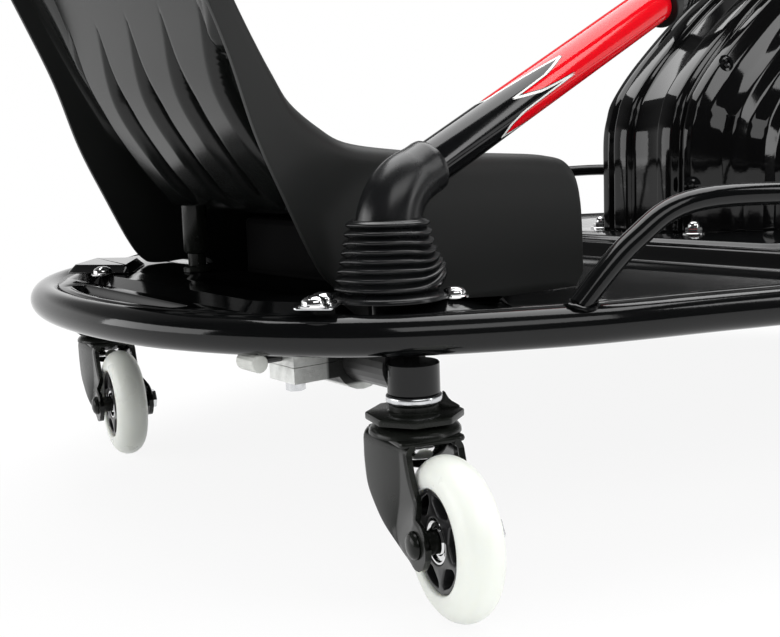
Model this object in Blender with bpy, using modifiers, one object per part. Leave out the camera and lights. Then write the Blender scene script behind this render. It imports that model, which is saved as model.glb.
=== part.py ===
"""Electric drift kart, modelled piece by piece in metres with +Z up.

The kart faces +X and stands on the ground plane z = 0.  Every piece is laid out
from the kingpin line of the two rear casters, which the empty kart_origin puts
at its place, so that the kart's own box is centred on the world origin.
"""
import bpy
import bmesh
import numpy as np
from math import acos, asin, cos, degrees, pi, radians, sin, sqrt, tan
from mathutils import Matrix, Vector

# Overall places, measured forward from the kingpins of the rear casters
REAR_REACH = 0.135
FRONT_WHEEL_X = 0.750
FRONT_REACH = FRONT_WHEEL_X + 0.111
KING_X = (REAR_REACH - FRONT_REACH) / 2
GAP = 0.0003

# Perimeter tube and pressed deck
RING_Z = 0.1405
RING_R = 0.011
RING_HALF_WIDTH = 0.328
SHEET = 0.0025
RIM_Z = 0.150
TUNNEL_Z = 0.155
TUNNEL_REAR = -0.045
TUNNEL_FRONT = 0.047
TRAY_Z = 0.137
TRAY_FRONT = 0.360
PLINTH_Z = 0.154
PLINTH_REAR = 0.385
PLINTH_HALF_WIDTH = 0.170
PRESS_SLOPE = 0.007
WELL_R = 0.0815

# Hoops over the perimeter tube
HOOP_R = 0.00635
HOOP_Z = 0.2025
HOOP_REAR = 0.072
HOOP_FRONT = 0.740
HOOP_RISE = 0.055

# Rear axle that tilts: shaft, clamps, stems and bar
TRACK_HALF = 0.209
SHAFT_Z = 0.1212
SHAFT_R = 0.0135
SHAFT_END = 0.009
CLAMP_Y = 0.150
CLAMP_WIDTH = 0.026
CLAMP_WALL = 0.0045
CLAMP_FLANGE_T = 0.009
CLAMP_HALF_LENGTH = 0.045
CLAMP_BOLT_X = 0.0365
CLAMP_BOLT_R = 0.003
STEM_R = 0.0142
STEM_TOP = 0.1248
BAR_X = 0.0075
BAR_Y = -0.182
BAR_R = 0.0127
BAR_SLOPE = radians(26.8)
BAR_CORNER_Z = 0.2111
BAR_BEND_R = 0.030
BAR_END_X = 0.227
GRIP_R = 0.0158
GRIP_LENGTH = 0.112
GRIP_SPIGOT_R = 0.0112
GRIP_RING_R = 0.0172
GRIP_RING_W = 0.007
SLEEVE_LOW_R = 0.0188
SLEEVE_TOP_R = 0.0146
SLEEVE_END_X = 0.0385
SLEEVE_LOW_Z = 0.186
SLEEVE_SIDES = 16
TILT_DEG = 18.0

# Stop that hangs behind the right clamp
STOP_X = -0.063
STOP_R = 0.005
STOP_LENGTH = 0.018
STOP_ROD_R = 0.0022

# Rubber boot round the bar
BOOT_TOP_Z = 0.1985
BOOT_RIBS = 7
BOOT_BASE_R = 0.0290
BOOT_TOP_R = 0.0235
BOOT_RIB_DEPTH = 0.0036
BOOT_SKIRT_R = 0.0325
BOOT_SKIRT_T = 0.003
BOOT_WALL = 0.0019
BOOT_SIDES = 18

# Swivel casters
WHEEL_R = 0.042
WHEEL_W = 0.024
TRAIL = 0.044
SWIVEL_RIGHT = radians(-104.4)
SWIVEL_LEFT = radians(-100.5)
HUB_R = 0.0262
HUB_W = 0.0205
HUB_POCKETS = 6
BEARING_R = 0.0115
BEARING_W = 0.0195
AXLE_R = 0.004
SPACER_R = 0.0062
LEG_T = 0.0038
LEG_FACE = 0.0214
LEG_BOSS_R = 0.0130
CROWN_Z = 0.0888
CROWN_T = 0.0042
CROWN_HALF = 0.0255
CROWN_DOME_T = 0.0042
PLATE_Z = 0.0945
PLATE_T = 0.0042
PLATE_R = 0.0265
NECK_R = 0.0135
NECK_TOP = 0.1029
WASHER_R = 0.0152
WASHER_T = 0.0046
KINGPIN_R = 0.008
KINGPIN_NUT_R = 0.0088
KINGPIN_NUT_LOW = 0.0690
CUP_R = 0.0168
CUP_LOW_R = 0.0146
CUP_H = 0.0092
WEB_ANGLE = radians(-24)
WEB_REACH = 0.0168
WEB_T = 0.003
BOLT_HEAD_R = 0.0073
BOLT_HEAD_H = 0.0036
NUT_R = 0.0076
NUT_T = 0.0038

# Moulded seat
SEAT_HALF_W = 0.132
SEAT_T = 0.003
SEAT_SKIRT_Z = TRAY_Z + 0.0006
POST_X = 0.005
POST_Y = 0.044
POST_TOP = 0.2025
POST_R = 0.0078
POST_FOOT_R = 0.0050
POST_STEP_Z = 0.170
CHANNEL_DEPTH = 0.009
CHANNEL_PITCH = 0.048
CHANNEL_HALF = CHANNEL_PITCH / 4

# Drive hood
HOOD_T = 0.0022
HOOD_BASE_Z = PLINTH_Z + GAP
HOOD_HEART_X = FRONT_WHEEL_X - 0.050
HOOD_HOLE_R = 0.022

# Steering: the wheel's column leans back and turns the fork through a ball joint
COLUMN_TILT = radians(42)
COLUMN_R = 0.008
COLUMN_LENGTH = 0.250
JOINT_Z = 0.270
JOINT_BALL_R = 0.015
JOINT_CUP_R = 0.0190
HEAD_TUBE_R = 0.020
HEAD_TUBE_LOW = 0.206
HEAD_TUBE_TOP = 0.250
BRIDGE_T = 0.006
BRIDGE_HALF_DEPTH = 0.022
BRIDGE_FOOT_Y = 0.097
BRIDGE_FOOT_W = 0.014
STEERER_R = 0.014
STEERING_WHEEL_R = 0.110
STEERING_RIM_R = 0.011
STEERING_HUB_R = 0.026
STEERING_RIM_STEPS = 26
BEARING_BLOCK_AT = 0.088
BEARING_BLOCK_R = 0.0150
BEARING_BLOCK_W = 0.024

# Driven front wheel
DRIVE_R = 0.075
DRIVE_W = 0.038
DRIVE_HUB_R = 0.052
DRIVE_AXLE_R = 0.006
DRIVE_LEG_Y = 0.026
DRIVE_LEG_T = 0.005
DRIVE_LEG_HALF = 0.015
DRIVE_CROWN_Z = 0.160
DRIVE_CROWN_T = 0.008

# Throttle pedal, switch, charge port and battery
PEDAL_X = 0.520
PEDAL_Y = -0.215
PEDAL_WIDTH = 0.062
PEDAL_LENGTH = 0.100
PEDAL_T = 0.006
PEDAL_LEAN = radians(50)
PEDAL_PIVOT_H = 0.016
PEDAL_PIN_R = 0.003
PEDAL_BARREL_R = 0.007
BATTERY_X = (0.068, 0.190)
BATTERY_HALF_W = 0.088
BATTERY_H = 0.052
SWITCH_X = 0.660
SWITCH_Y = 0.200
SWITCH_HALF = (0.017, 0.012)
SWITCH_H = 0.018

for old in list(bpy.data.objects):
    bpy.data.objects.remove(old, do_unlink=True)
kart = bpy.data.collections.new("electric_drift_kart")
cutters = bpy.data.collections.new("cutters")
bpy.context.scene.collection.children.link(kart)
bpy.context.scene.collection.children.link(cutters)


def material(name, colour, roughness, metallic=0.0):
    """A plain Principled finish."""
    made = bpy.data.materials.new(name)
    made.use_nodes = True
    shader = made.node_tree.nodes["Principled BSDF"]
    shader.inputs["Base Color"].default_value = (*colour, 1.0)
    shader.inputs["Roughness"].default_value = roughness
    shader.inputs["Metallic"].default_value = metallic
    return made


GLOSS = material("gloss_black_paint", (0.006, 0.006, 0.007), 0.12)
SATIN = material("satin_black_moulding", (0.020, 0.021, 0.023), 0.45)
HOOD_BLACK = material("gloss_black_moulding", (0.008, 0.008, 0.009), 0.15)
CAST_BLACK = material("black_coated_steel", (0.030, 0.031, 0.030), 0.38)
RUBBER = material("black_rubber", (0.018, 0.018, 0.019), 0.55)
RED = material("red_wrap", (0.80, 0.004, 0.010), 0.2)
WHITE_TYRE = material("white_urethane", (0.80, 0.82, 0.76), 0.35)
ZINC = material("zinc_plate", (0.70, 0.71, 0.72), 0.25, 1.0)
CHROME = material("chrome_plate", (0.80, 0.80, 0.80), 0.08, 1.0)
CAST_ALLOY = material("cast_aluminium", (0.55, 0.56, 0.56), 0.45, 1.0)
TREAD = material("tread_rubber", (0.022, 0.022, 0.022), 0.8)
HOUSING = material("matt_black_plastic", (0.03, 0.03, 0.032), 0.5)

origin = bpy.data.objects.new("kart_origin", None)
origin.location = (KING_X, 0, 0)
kart.objects.link(origin)


def axis_empty(name, place, direction=(0, 0, 1), parent=None):
    """An empty on a joint's axis, its own Z along that axis."""
    made = bpy.data.objects.new(name, None)
    made.empty_display_size = 0.03
    made.parent = parent or origin
    made.location = place
    made.rotation_mode = "QUATERNION"
    made.rotation_quaternion = Vector(direction).to_track_quat("Z", "Y")
    kart.objects.link(made)
    return made


def settle(obj):
    """Replace an object's data by its evaluated mesh, with its caps welded."""
    bpy.context.view_layer.update()
    depsgraph = bpy.context.evaluated_depsgraph_get()
    mesh = bpy.data.meshes.new_from_object(obj.evaluated_get(depsgraph))
    shape = bmesh.new()
    shape.from_mesh(mesh)
    bmesh.ops.remove_doubles(shape, verts=shape.verts, dist=0.00001)
    shape.to_mesh(mesh)
    shape.free()
    made = bpy.data.objects.new(obj.name, mesh)
    made.matrix_world = obj.matrix_world.copy()
    name = obj.name
    for holder in obj.users_collection:
        holder.objects.link(made)
    bpy.data.objects.remove(obj, do_unlink=True)
    made.name = name
    return made


def from_bmesh(name, shape, finish=None, holder=None):
    """An object of one bmesh, with its normals turned outward."""
    bmesh.ops.recalc_face_normals(shape, faces=shape.faces)
    mesh = bpy.data.meshes.new(name)
    shape.to_mesh(mesh)
    shape.free()
    made = bpy.data.objects.new(name, mesh)
    (holder or kart).objects.link(made)
    if finish:
        mesh.materials.append(finish)
    return made


def finish_piece(obj, finish, parent=None, edge_deg=35):
    """Give a finished piece its material, its shading and its place in the kart."""
    obj.data.materials.clear()
    obj.data.materials.append(finish)
    obj.data.shade_smooth()
    obj.data.set_sharp_from_angle(angle=radians(edge_deg))
    obj.parent = parent or origin
    if parent and parent is not origin:
        obj.matrix_parent_inverse = parent_matrix(parent).inverted()
    return obj


def parent_matrix(empty):
    """An empty's matrix in the kingpin frame, through its parents."""
    made = Matrix.LocRotScale(empty.location, empty.rotation_quaternion, None)
    while empty.parent and empty.parent is not origin:
        empty = empty.parent
        made = Matrix.LocRotScale(empty.location, empty.rotation_quaternion, None) @ made
    return made


def loft(name, rings, closed=False):
    """A skin through rings of points, capped at both ends unless it closes on itself."""
    shape = bmesh.new()
    rows = [[shape.verts.new(p) for p in ring] for ring in rings]
    count = len(rows[0])
    spans = len(rows) if closed else len(rows) - 1
    for k in range(spans):
        low, high = rows[k], rows[(k + 1) % len(rows)]
        for i in range(count):
            j = (i + 1) % count
            shape.faces.new((low[i], low[j], high[j], high[i]))
    if not closed:
        shape.faces.new(rows[0])
        shape.faces.new(rows[-1])
    return from_bmesh(name, shape)


def prism(name, outline, low, high):
    """An upright prism on a flat outline."""
    return loft(name, [[(x, y, low) for x, y in outline], [(x, y, high) for x, y in outline]])


def slab(name, outline, half, centre=0.0):
    """A plate in the XZ plane, thickened to both sides along Y."""
    front = [(x, centre - half, z) for x, z in outline]
    back = [(x, centre + half, z) for x, z in outline]
    return loft(name, [front, back])


def block(name, x, y, z):
    """A box between two corners."""
    shape = bmesh.new()
    bmesh.ops.create_cube(shape, size=1.0)
    size = Vector((x[1] - x[0], y[1] - y[0], z[1] - z[0]))
    middle = Vector((x[0] + x[1], y[0] + y[1], z[0] + z[1])) / 2
    bmesh.ops.scale(shape, vec=size, verts=shape.verts)
    bmesh.ops.translate(shape, vec=middle, verts=shape.verts)
    return from_bmesh(name, shape)


def rod(name, start, end, radius, sides=16, end_radius=None):
    """A round or tapered bar between two points."""
    start, end = Vector(start), Vector(end)
    shape = bmesh.new()
    top = radius if end_radius is None else end_radius
    bmesh.ops.create_cone(shape, cap_ends=True, segments=sides, radius1=radius, radius2=top,
                          depth=(end - start).length)
    turn = (end - start).to_track_quat("Z", "Y").to_matrix().to_4x4()
    bmesh.ops.transform(shape, matrix=Matrix.Translation((start + end) / 2) @ turn, verts=shape.verts)
    return from_bmesh(name, shape)


def turned(name, profile, steps, closed=False):
    """A profile of (radius, height) points, top to bottom on its outer side, turned about Z."""
    mesh = bpy.data.meshes.new(name)
    edges = [(i, i + 1) for i in range(len(profile) - 1)]
    if closed:
        edges.append((len(profile) - 1, 0))
    mesh.from_pydata([(r, 0, z) for r, z in profile], edges, [])
    made = bpy.data.objects.new(name, mesh)
    kart.objects.link(made)
    screw = made.modifiers.new("turn", "SCREW")
    screw.axis = "Z"
    screw.steps = steps
    screw.render_steps = steps
    screw.use_merge_vertices = True
    screw.merge_threshold = 0.00002
    screw.use_smooth_shade = True
    made = settle(made)
    shape = bmesh.new()
    shape.from_mesh(made.data)
    bmesh.ops.recalc_face_normals(shape, faces=shape.faces)
    shape.to_mesh(made.data)
    shape.free()
    return made


def tube(name, points, radius, resolution=2, cyclic=False, radii=None):
    """A tube along points, as a bevelled curve with filled caps."""
    curve = bpy.data.curves.new(name, "CURVE")
    curve.dimensions = "3D"
    curve.bevel_depth = radius
    curve.bevel_resolution = resolution
    curve.use_fill_caps = True
    spline = curve.splines.new("POLY")
    spline.points.add(len(points) - 1)
    for k, place in enumerate(points):
        spline.points[k].co = (*place, 1)
        spline.points[k].radius = radii[k] if radii else 1.0
    spline.use_cyclic_u = cyclic
    made = bpy.data.objects.new(name, curve)
    kart.objects.link(made)
    return settle(made)


def moved(obj, matrix):
    """Put a piece at its place by moving its mesh."""
    obj.data.transform(matrix)
    if matrix.determinant() < 0:
        obj.data.flip_normals()
    return obj


def copy_of(obj, name, matrix=None):
    """A second piece of the same shape."""
    made = bpy.data.objects.new(name, obj.data.copy())
    kart.objects.link(made)
    return moved(made, matrix) if matrix else made


def combine(target, tool, how):
    """Join or cut a piece with another by an exact Boolean."""
    for holder in list(tool.users_collection):
        holder.objects.unlink(tool)
    cutters.objects.link(tool)
    tool.hide_render = True
    tool.display_type = "WIRE"
    step = target.modifiers.new(how.lower(), "BOOLEAN")
    step.operation = how
    step.solver = "EXACT"
    step.object = tool
    made = settle(target)
    bpy.data.objects.remove(tool, do_unlink=True)
    return made


def soften(obj, width, segments=1, angle=30):
    """Round a piece's sharp edges."""
    step = obj.modifiers.new("soften", "BEVEL")
    step.width = width
    step.segments = segments
    step.limit_method = "ANGLE"
    step.angle_limit = radians(angle)
    return settle(obj)


def arc(centre, radius, start_deg, end_deg, steps):
    """Points on an arc in a plane."""
    made = []
    for k in range(steps + 1):
        a = radians(start_deg + (end_deg - start_deg) * k / steps)
        made.append((centre[0] + radius * cos(a), centre[1] + radius * sin(a)))
    return made


def smooth_run(points, steps, cyclic=False):
    """A smooth curve through points, by the Catmull-Rom rule."""
    pts = [Vector(p) for p in points]
    count = len(pts)
    made = []
    for k in range(count if cyclic else count - 1):
        if cyclic:
            a, b, c, d = (pts[(k + j - 1) % count] for j in range(4))
        else:
            a, b, c, d = (pts[min(max(k + j - 1, 0), count - 1)] for j in range(4))
        for i in range(steps):
            t = i / steps
            made.append(0.5 * (2 * b + (c - a) * t + (2 * a - 5 * b + 4 * c - d) * t * t
                               + (3 * b - a - 3 * c + d) * t * t * t))
    if not cyclic:
        made.append(pts[-1])
    return made


# Plan of the perimeter tube: half of it, from the middle of the rear to the nose
RING_NOSE_X = FRONT_REACH - RING_R
half_plan = [(-0.0992, 0.0), (-0.0837, 0.105), (-0.0292, 0.1965), (0.0585, 0.2536), (0.1543, 0.2867),
             (0.2600, 0.318), (0.3700, RING_HALF_WIDTH), (0.5000, 0.314), (0.6300, 0.268),
             (FRONT_WHEEL_X - 0.005, 0.185), (FRONT_WHEEL_X + 0.075, 0.085), (RING_NOSE_X, 0.0)]
plan = half_plan + [(x, -y) for x, y in reversed(half_plan[1:-1])]
ring_line = smooth_run(plan, 3, cyclic=True)
ring_tube = tube("perimeter_tube", [(p.x, p.y, RING_Z) for p in ring_line], RING_R, 1, cyclic=True)


def offset_loop(distance):
    """The perimeter line moved inward in plan."""
    made = []
    count = len(ring_line)
    for k, p in enumerate(ring_line):
        along = (ring_line[(k + 1) % count] - ring_line[k - 1]).normalized()
        made.append((p.x + along.y * distance, p.y - along.x * distance))
    return made


def half_width(x, inset):
    """Half the width of the plan at x, inside the perimeter line by inset."""
    side = sorted(p for p in offset_loop(inset) if p[1] >= 0)
    return float(np.interp(x, [p[0] for p in side], [p[1] for p in side]))


def band(x_low, x_high, inset, widest=1.0, steps=7):
    """A closed outline across the deck between two places along X."""
    xs = [x_low + (x_high - x_low) * k / steps for k in range(steps + 1)]
    right = [(x, -min(half_width(x, inset), widest)) for x in xs]
    left = [(x, min(half_width(x, inset), widest)) for x in reversed(xs)]
    return right + left


def pressing(name, low_outline, low_z, high_outline, high_z):
    """A raised or sunk pressing: a frustum between two outlines."""
    low = [(x, y, low_z) for x, y in low_outline]
    high = [(x, y, high_z) for x, y in high_outline]
    return loft(name, [low, high])


def frustum(place, grow, z_range, widest, flare):
    """A raised pressing on a band (x low, x high, inset): grow widens it, flare spreads its foot."""
    x_low, x_high, inset = place
    foot = grow + flare
    base = band(x_low - foot, x_high + foot, inset - foot, widest + foot)
    top = band(x_low - grow, x_high + grow, inset - grow, widest + grow)
    return pressing("press", base, z_range[0], top, z_range[1])


def sunk(place, grow, z_range):
    """A sunk pressing on a band, wider at its mouth than on its floor."""
    x_low, x_high, inset = place
    rise = PRESS_SLOPE
    floor = band(x_low + grow, x_high - grow, inset + grow)
    mouth = band(x_low + grow - rise, x_high - grow + rise, inset + grow - rise)
    return pressing("press", floor, z_range[0], mouth, z_range[1])


def make_deck():
    """The pressed steel floor: rim, shaft tunnel, foot tray, hood plinth, pocket and holes."""
    low = RIM_Z - SHEET
    inset = 0.019
    rise = PRESS_SLOPE
    tunnel = (TUNNEL_REAR, TUNNEL_FRONT, inset)
    plinth = (PLINTH_REAR, FRONT_WHEEL_X + WELL_R - 0.012, inset + 0.004)
    tray = (TUNNEL_FRONT + 2 * rise, TRAY_FRONT, inset + rise)
    edge = sqrt(RING_R ** 2 - (low - RING_Z) ** 2) + GAP
    deck = prism("deck_pan", offset_loop(edge), low, RIM_Z)
    for place, top, widest in ((tunnel, TUNNEL_Z, 1.0), (plinth, PLINTH_Z, PLINTH_HALF_WIDTH)):
        deck = combine(deck, frustum(place, 0, (low + 0.0005, top), widest, rise - 0.002), "UNION")
    deck = combine(deck, sunk(tray, 0, (TRAY_Z - SHEET, RIM_Z - 0.0005)), "UNION")
    for place, top, widest, flare in ((tunnel, TUNNEL_Z, 1.0, rise + 0.001),
                                      (plinth, PLINTH_Z, PLINTH_HALF_WIDTH, rise - 0.001)):
        hollow = frustum(place, -SHEET, (low - 0.004, top - SHEET), widest, flare)
        deck = combine(deck, hollow, "DIFFERENCE")
    deck = combine(deck, sunk(tray, SHEET, (TRAY_Z, RIM_Z + 0.0005)), "DIFFERENCE")
    under, over = TRAY_Z - 0.020, PLINTH_Z + 0.020
    well = rod("well", (FRONT_WHEEL_X, 0, under), (FRONT_WHEEL_X, 0, over), WELL_R, 28)
    deck = combine(deck, well, "DIFFERENCE")
    swing = (TUNNEL_Z - SHAFT_Z) * sin(radians(TILT_DEG)) * 1.1
    slot = block("slot", (BAR_X - swing - BAR_R - 0.003, BAR_X + BAR_R + 0.002),
                 (BAR_Y - BAR_R - 0.0012, BAR_Y + BAR_R + 0.0012), (under, over))
    return combine(deck, slot, "DIFFERENCE")


deck_pan = make_deck()
finish_piece(ring_tube, GLOSS)
finish_piece(deck_pan, GLOSS)


def make_hoop(name, side):
    """A hoop of thin tube that stands on the perimeter tube and follows it."""
    foot_z = RING_Z + RING_R + GAP + HOOP_R * 0.35
    knee = HOOP_RISE * 0.55
    knee_z = foot_z + (HOOP_Z - foot_z) * 0.60
    xs = np.linspace(HOOP_REAR + HOOP_RISE * 1.25, HOOP_FRONT - HOOP_RISE * 1.25, 7)
    line = [(HOOP_REAR, foot_z), (HOOP_REAR + knee, knee_z)]
    line += [(x, HOOP_Z) for x in xs]
    line += [(HOOP_FRONT - knee, knee_z), (HOOP_FRONT, foot_z)]
    points = [(x, side * half_width(x, 0.0), z) for x, z in line]
    hoop = tube(name, smooth_run(points, 3), HOOP_R, 1)
    saddle = copy_of(ring_tube, "saddle")
    shape = bmesh.new()
    shape.from_mesh(saddle.data)
    shape.normal_update()
    for v in shape.verts:
        v.co += v.normal * GAP
    shape.to_mesh(saddle.data)
    shape.free()
    return finish_piece(combine(hoop, saddle, "DIFFERENCE"), GLOSS)


make_hoop("side_hoop_right", -1)
make_hoop("side_hoop_left", 1)


# Seat: stations from the front edge, over the pan and up the back.  Each holds the
# middle of the seat, the rolled top of the side and the free edge of the skirt, in XZ
BACK_EDGE_X = -REAR_REACH
seat_stations = [
    ((0.2130, 0.1400), (0.2136, 0.1500), (0.2050, SEAT_SKIRT_Z)),
    ((0.2125, 0.1800), (0.2125, 0.2020), (0.1940, SEAT_SKIRT_Z)),
    ((0.2060, 0.1985), (0.2040, 0.2215), (0.1780, SEAT_SKIRT_Z)),
    ((0.1850, 0.2030), (0.1810, 0.2280), (0.1550, SEAT_SKIRT_Z)),
    ((0.1480, 0.2020), (0.1421, 0.2306), (0.1250, SEAT_SKIRT_Z)),
    ((0.1050, 0.2000), (0.1000, 0.2322), (0.0920, SEAT_SKIRT_Z)),
    ((0.0650, 0.1990), (0.0600, 0.2350), (0.0650, SEAT_SKIRT_Z + 0.001)),
    ((0.0300, 0.1995), (0.0213, 0.2402), (0.0565, TUNNEL_Z + 0.0008)),
    ((0.0080, 0.2090), (0.0020, 0.2495), (0.0140, TUNNEL_Z + 0.0008)),
    ((-0.0085, 0.2265), (-0.0173, 0.2644), (0.0020, 0.1600)),
    ((-0.0215, 0.2440), (-0.0290, 0.2820), (-0.0090, 0.1750)),
    ((-0.0345, 0.2650), (-0.0400, 0.3010), (-0.0250, 0.2080)),
    ((-0.0445, 0.2890), (-0.0500, 0.3200), (-0.0420, 0.2460)),
    ((-0.0535, 0.3280), (-0.0630, 0.3460), (-0.0570, 0.2920)),
    ((-0.0690, 0.3690), (-0.0790, 0.3800), (-0.0760, 0.3360)),
    ((-0.0830, 0.4080), (-0.0950, 0.4130), (-0.0960, 0.3790)),
    ((-0.0980, 0.4400), (-0.1080, 0.4400), (-0.1150, 0.4190)),
    ((-0.1080, 0.4560), (-0.1160, 0.4560), (-0.1280, 0.4450)),
    ((-0.1200, 0.4660), (-0.1240, 0.4620), (BACK_EDGE_X, 0.4560)),
]
CHANNEL_FIRST, CHANNEL_LAST = 9, 13


def channel_push(station, y):
    """How far the back is pressed forward at a station: channels that taper out upward."""
    pitches = abs(y) / CHANNEL_PITCH
    off = abs(pitches - round(pitches)) * CHANNEL_PITCH
    across = max(0.0, 1 - off / CHANNEL_HALF)
    above = min(1.0, max(0.0, (CHANNEL_LAST - station) / 2.0))
    below = min(1.0, max(0.0, (station - CHANNEL_FIRST + 2) / 2.0))
    return CHANNEL_DEPTH * across * above * below


def make_seat():
    """The one-piece bucket: pan, ribbed back, rolled sides and skirts down to the deck."""
    def mix(a, b, t):
        return (a[0] + (b[0] - a[0]) * t, a[1] + (b[1] - a[1]) * t)
    middle = [0.0, CHANNEL_HALF]
    for k in (1, 2):
        middle += [k * CHANNEL_PITCH - CHANNEL_HALF, k * CHANNEL_PITCH, k * CHANNEL_PITCH + CHANNEL_HALF]
    middle = [y for y in middle if y < 0.100]
    side = [(0.1030, "cf", 0.22), (0.1110, "cf", 0.74), (0.1180, "cf", 0.97), (0.1250, "cf", 1.00),
            (0.1305, "fe", 0.08), (SEAT_HALF_W, "fe", 0.22), (SEAT_HALF_W, "fe", 1.00)]
    shape = bmesh.new()
    rows = []
    for station, (c, f, e) in enumerate(seat_stations):
        before = seat_stations[max(station - 1, 0)][0]
        after = seat_stations[min(station + 1, len(seat_stations) - 1)][0]
        along = Vector((after[0] - before[0], after[1] - before[1])).normalized()
        normal = Vector((along.y, -along.x))
        half = []
        for y in middle:
            push = channel_push(station, y)
            half.append((c[0] + normal.x * push, y, c[1] + normal.y * push))
        for y, kind, t in side:
            x, z = mix(c, f, t) if kind == "cf" else mix(f, e, t)
            half.append((x, y, z))
        row = [(x, -y, z) for x, y, z in reversed(half[1:])] + half
        rows.append([shape.verts.new(p) for p in row])
    for low, high in zip(rows, rows[1:]):
        for i in range(len(low) - 1):
            shape.faces.new((low[i], low[i + 1], high[i + 1], high[i]))
    seat = from_bmesh("seat_shell", shape)
    # The sheet is given with its occupant side, so the wall grows away from it
    pan = [f for f in seat.data.polygons if f.center.z < 0.21 and abs(f.center.y) < 0.05 and f.center.x > 0.05]
    up = sum(f.normal.z * f.area for f in pan)
    wall = seat.modifiers.new("wall", "SOLIDIFY")
    wall.thickness = SEAT_T
    wall.offset = -1.0 if up > 0 else 1.0
    wall.use_even_offset = False
    return finish_piece(settle(seat), SATIN)


seat_shell = make_seat()

post_profile = [(0, POST_TOP), (POST_R, POST_TOP), (POST_R, POST_STEP_Z), (POST_FOOT_R, POST_STEP_Z - 0.002),
                (POST_FOOT_R, TUNNEL_Z + GAP), (0, TUNNEL_Z + GAP)]
post = turned("seat_post", post_profile, 14)
finish_piece(moved(post, Matrix.Translation((POST_X, POST_Y, 0))), CAST_BLACK)

battery_z = (TRAY_Z + GAP, TRAY_Z + BATTERY_H)
battery = block("battery_box", BATTERY_X, (-BATTERY_HALF_W, BATTERY_HALF_W), battery_z)
finish_piece(soften(battery, 0.005, 2), HOUSING)

# Clamps that hold the tilting shaft under the tunnel: a saddle above, a strap below
TUNNEL_UNDER = TUNNEL_Z - SHEET - GAP
CLAMP_BORE = SHAFT_R + GAP
CLAMP_OUTER = CLAMP_BORE + CLAMP_WALL


def bent_strap(name, side, flange, top=None):
    """Half of a split clamp: a half ring with a flange to each side, below a pedestal if it has a top."""
    level = SHAFT_Z + flange
    split = SHAFT_Z + (GAP / 2 if flange > 0 else -GAP / 2)
    lift = 1 if flange > 0 else -1
    ends = degrees(asin(abs(flange) / CLAMP_OUTER))
    outline = [(CLAMP_HALF_LENGTH, split), (CLAMP_HALF_LENGTH, level)]
    if top:
        reach = CLAMP_OUTER * cos(radians(ends))
        outline += [(reach, level), (reach, top), (-reach, top), (-reach, level)]
    else:
        outline += arc((0, SHAFT_Z), CLAMP_OUTER, lift * ends, lift * (180 - ends), 8)
    outline += [(-CLAMP_HALF_LENGTH, level), (-CLAMP_HALF_LENGTH, split)]
    open_deg = degrees(asin(GAP / 2 / CLAMP_BORE))
    outline += arc((0, SHAFT_Z), CLAMP_BORE, lift * (180 - open_deg), lift * open_deg, 10)
    made = slab(name, outline, CLAMP_WIDTH / 2, side * CLAMP_Y)
    for x in (-CLAMP_BOLT_X, CLAMP_BOLT_X):
        drill = rod("drill", (x, side * CLAMP_Y, SHAFT_Z - 0.02), (x, side * CLAMP_Y, SHAFT_Z + 0.02),
                    CLAMP_BOLT_R + GAP, 8)
        made = combine(made, drill, "DIFFERENCE")
    return finish_piece(made, CAST_ALLOY)


def clamp_bolt(name, x, y):
    """A bolt up through both flanges, with its head below and its nut above."""
    head = 0.0055
    nut = 0.0048
    low = SHAFT_Z - CLAMP_FLANGE_T - GAP
    high = SHAFT_Z + CLAMP_FLANGE_T + GAP
    made = rod(name, (x, y, low - head * 0.5), (x, y, high + nut * 0.5), CLAMP_BOLT_R, 8)
    made = combine(made, rod("head", (x, y, low - head), (x, y, low), head, 6), "UNION")
    made = combine(made, rod("nut", (x, y, high), (x, y, high + nut), head, 6), "UNION")
    return finish_piece(made, ZINC)


bolt_number = 1
for side, label in ((-1, "right"), (1, "left")):
    bent_strap("clamp_saddle_" + label, side, CLAMP_FLANGE_T, TUNNEL_UNDER)
    bent_strap("clamp_cap_" + label, side, -CLAMP_FLANGE_T)
    for x in (-CLAMP_BOLT_X, CLAMP_BOLT_X):
        clamp_bolt(f"clamp_bolt_{bolt_number}", x, side * CLAMP_Y)
        bolt_number += 1

# Stop behind the right clamp: a bright sleeve across the end of a short black rod
STOP_Z = SHAFT_Z + CLAMP_FLANGE_T / 2
stop_rod = rod("stop_rod", (-CLAMP_HALF_LENGTH - GAP, -CLAMP_Y, STOP_Z),
               (STOP_X + STOP_R + GAP, -CLAMP_Y, STOP_Z), STOP_ROD_R, 10)
finish_piece(stop_rod, CAST_BLACK)
stop_barrel = rod("stop_barrel", (STOP_X, -CLAMP_Y - STOP_LENGTH / 2, STOP_Z),
                  (STOP_X, -CLAMP_Y + STOP_LENGTH / 2, STOP_Z), STOP_R, 16)
finish_piece(soften(stop_barrel, 0.0006), ZINC)

# The tilting axle
drift_axis = axis_empty("drift_axle_axis", (0, 0, SHAFT_Z), (0, -1, 0))


def stem_tool(side, radius, top):
    """A cutter round a kingpin stem, up to a height."""
    return rod("stem_tool", (0, side * TRACK_HALF, PLATE_Z), (0, side * TRACK_HALF, top), radius, 20)


STEM_LOW = NECK_TOP + WASHER_T + 2 * GAP


def make_drift_shaft():
    """The tube across the kart, ended by the two kingpin stems and carrying the bar."""
    reach = TRACK_HALF - SHAFT_END
    shaft = rod("drift_shaft", (0, -reach, SHAFT_Z), (0, reach, SHAFT_Z), SHAFT_R, 24)
    for side in (-1, 1):
        shaft = combine(shaft, stem_tool(side, STEM_R + GAP, SHAFT_Z + 0.05), "DIFFERENCE")
        shaft = combine(shaft, stem_tool(side, WASHER_R + GAP, STEM_LOW), "DIFFERENCE")
    return finish_piece(shaft, CAST_BLACK, drift_axis)


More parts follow.
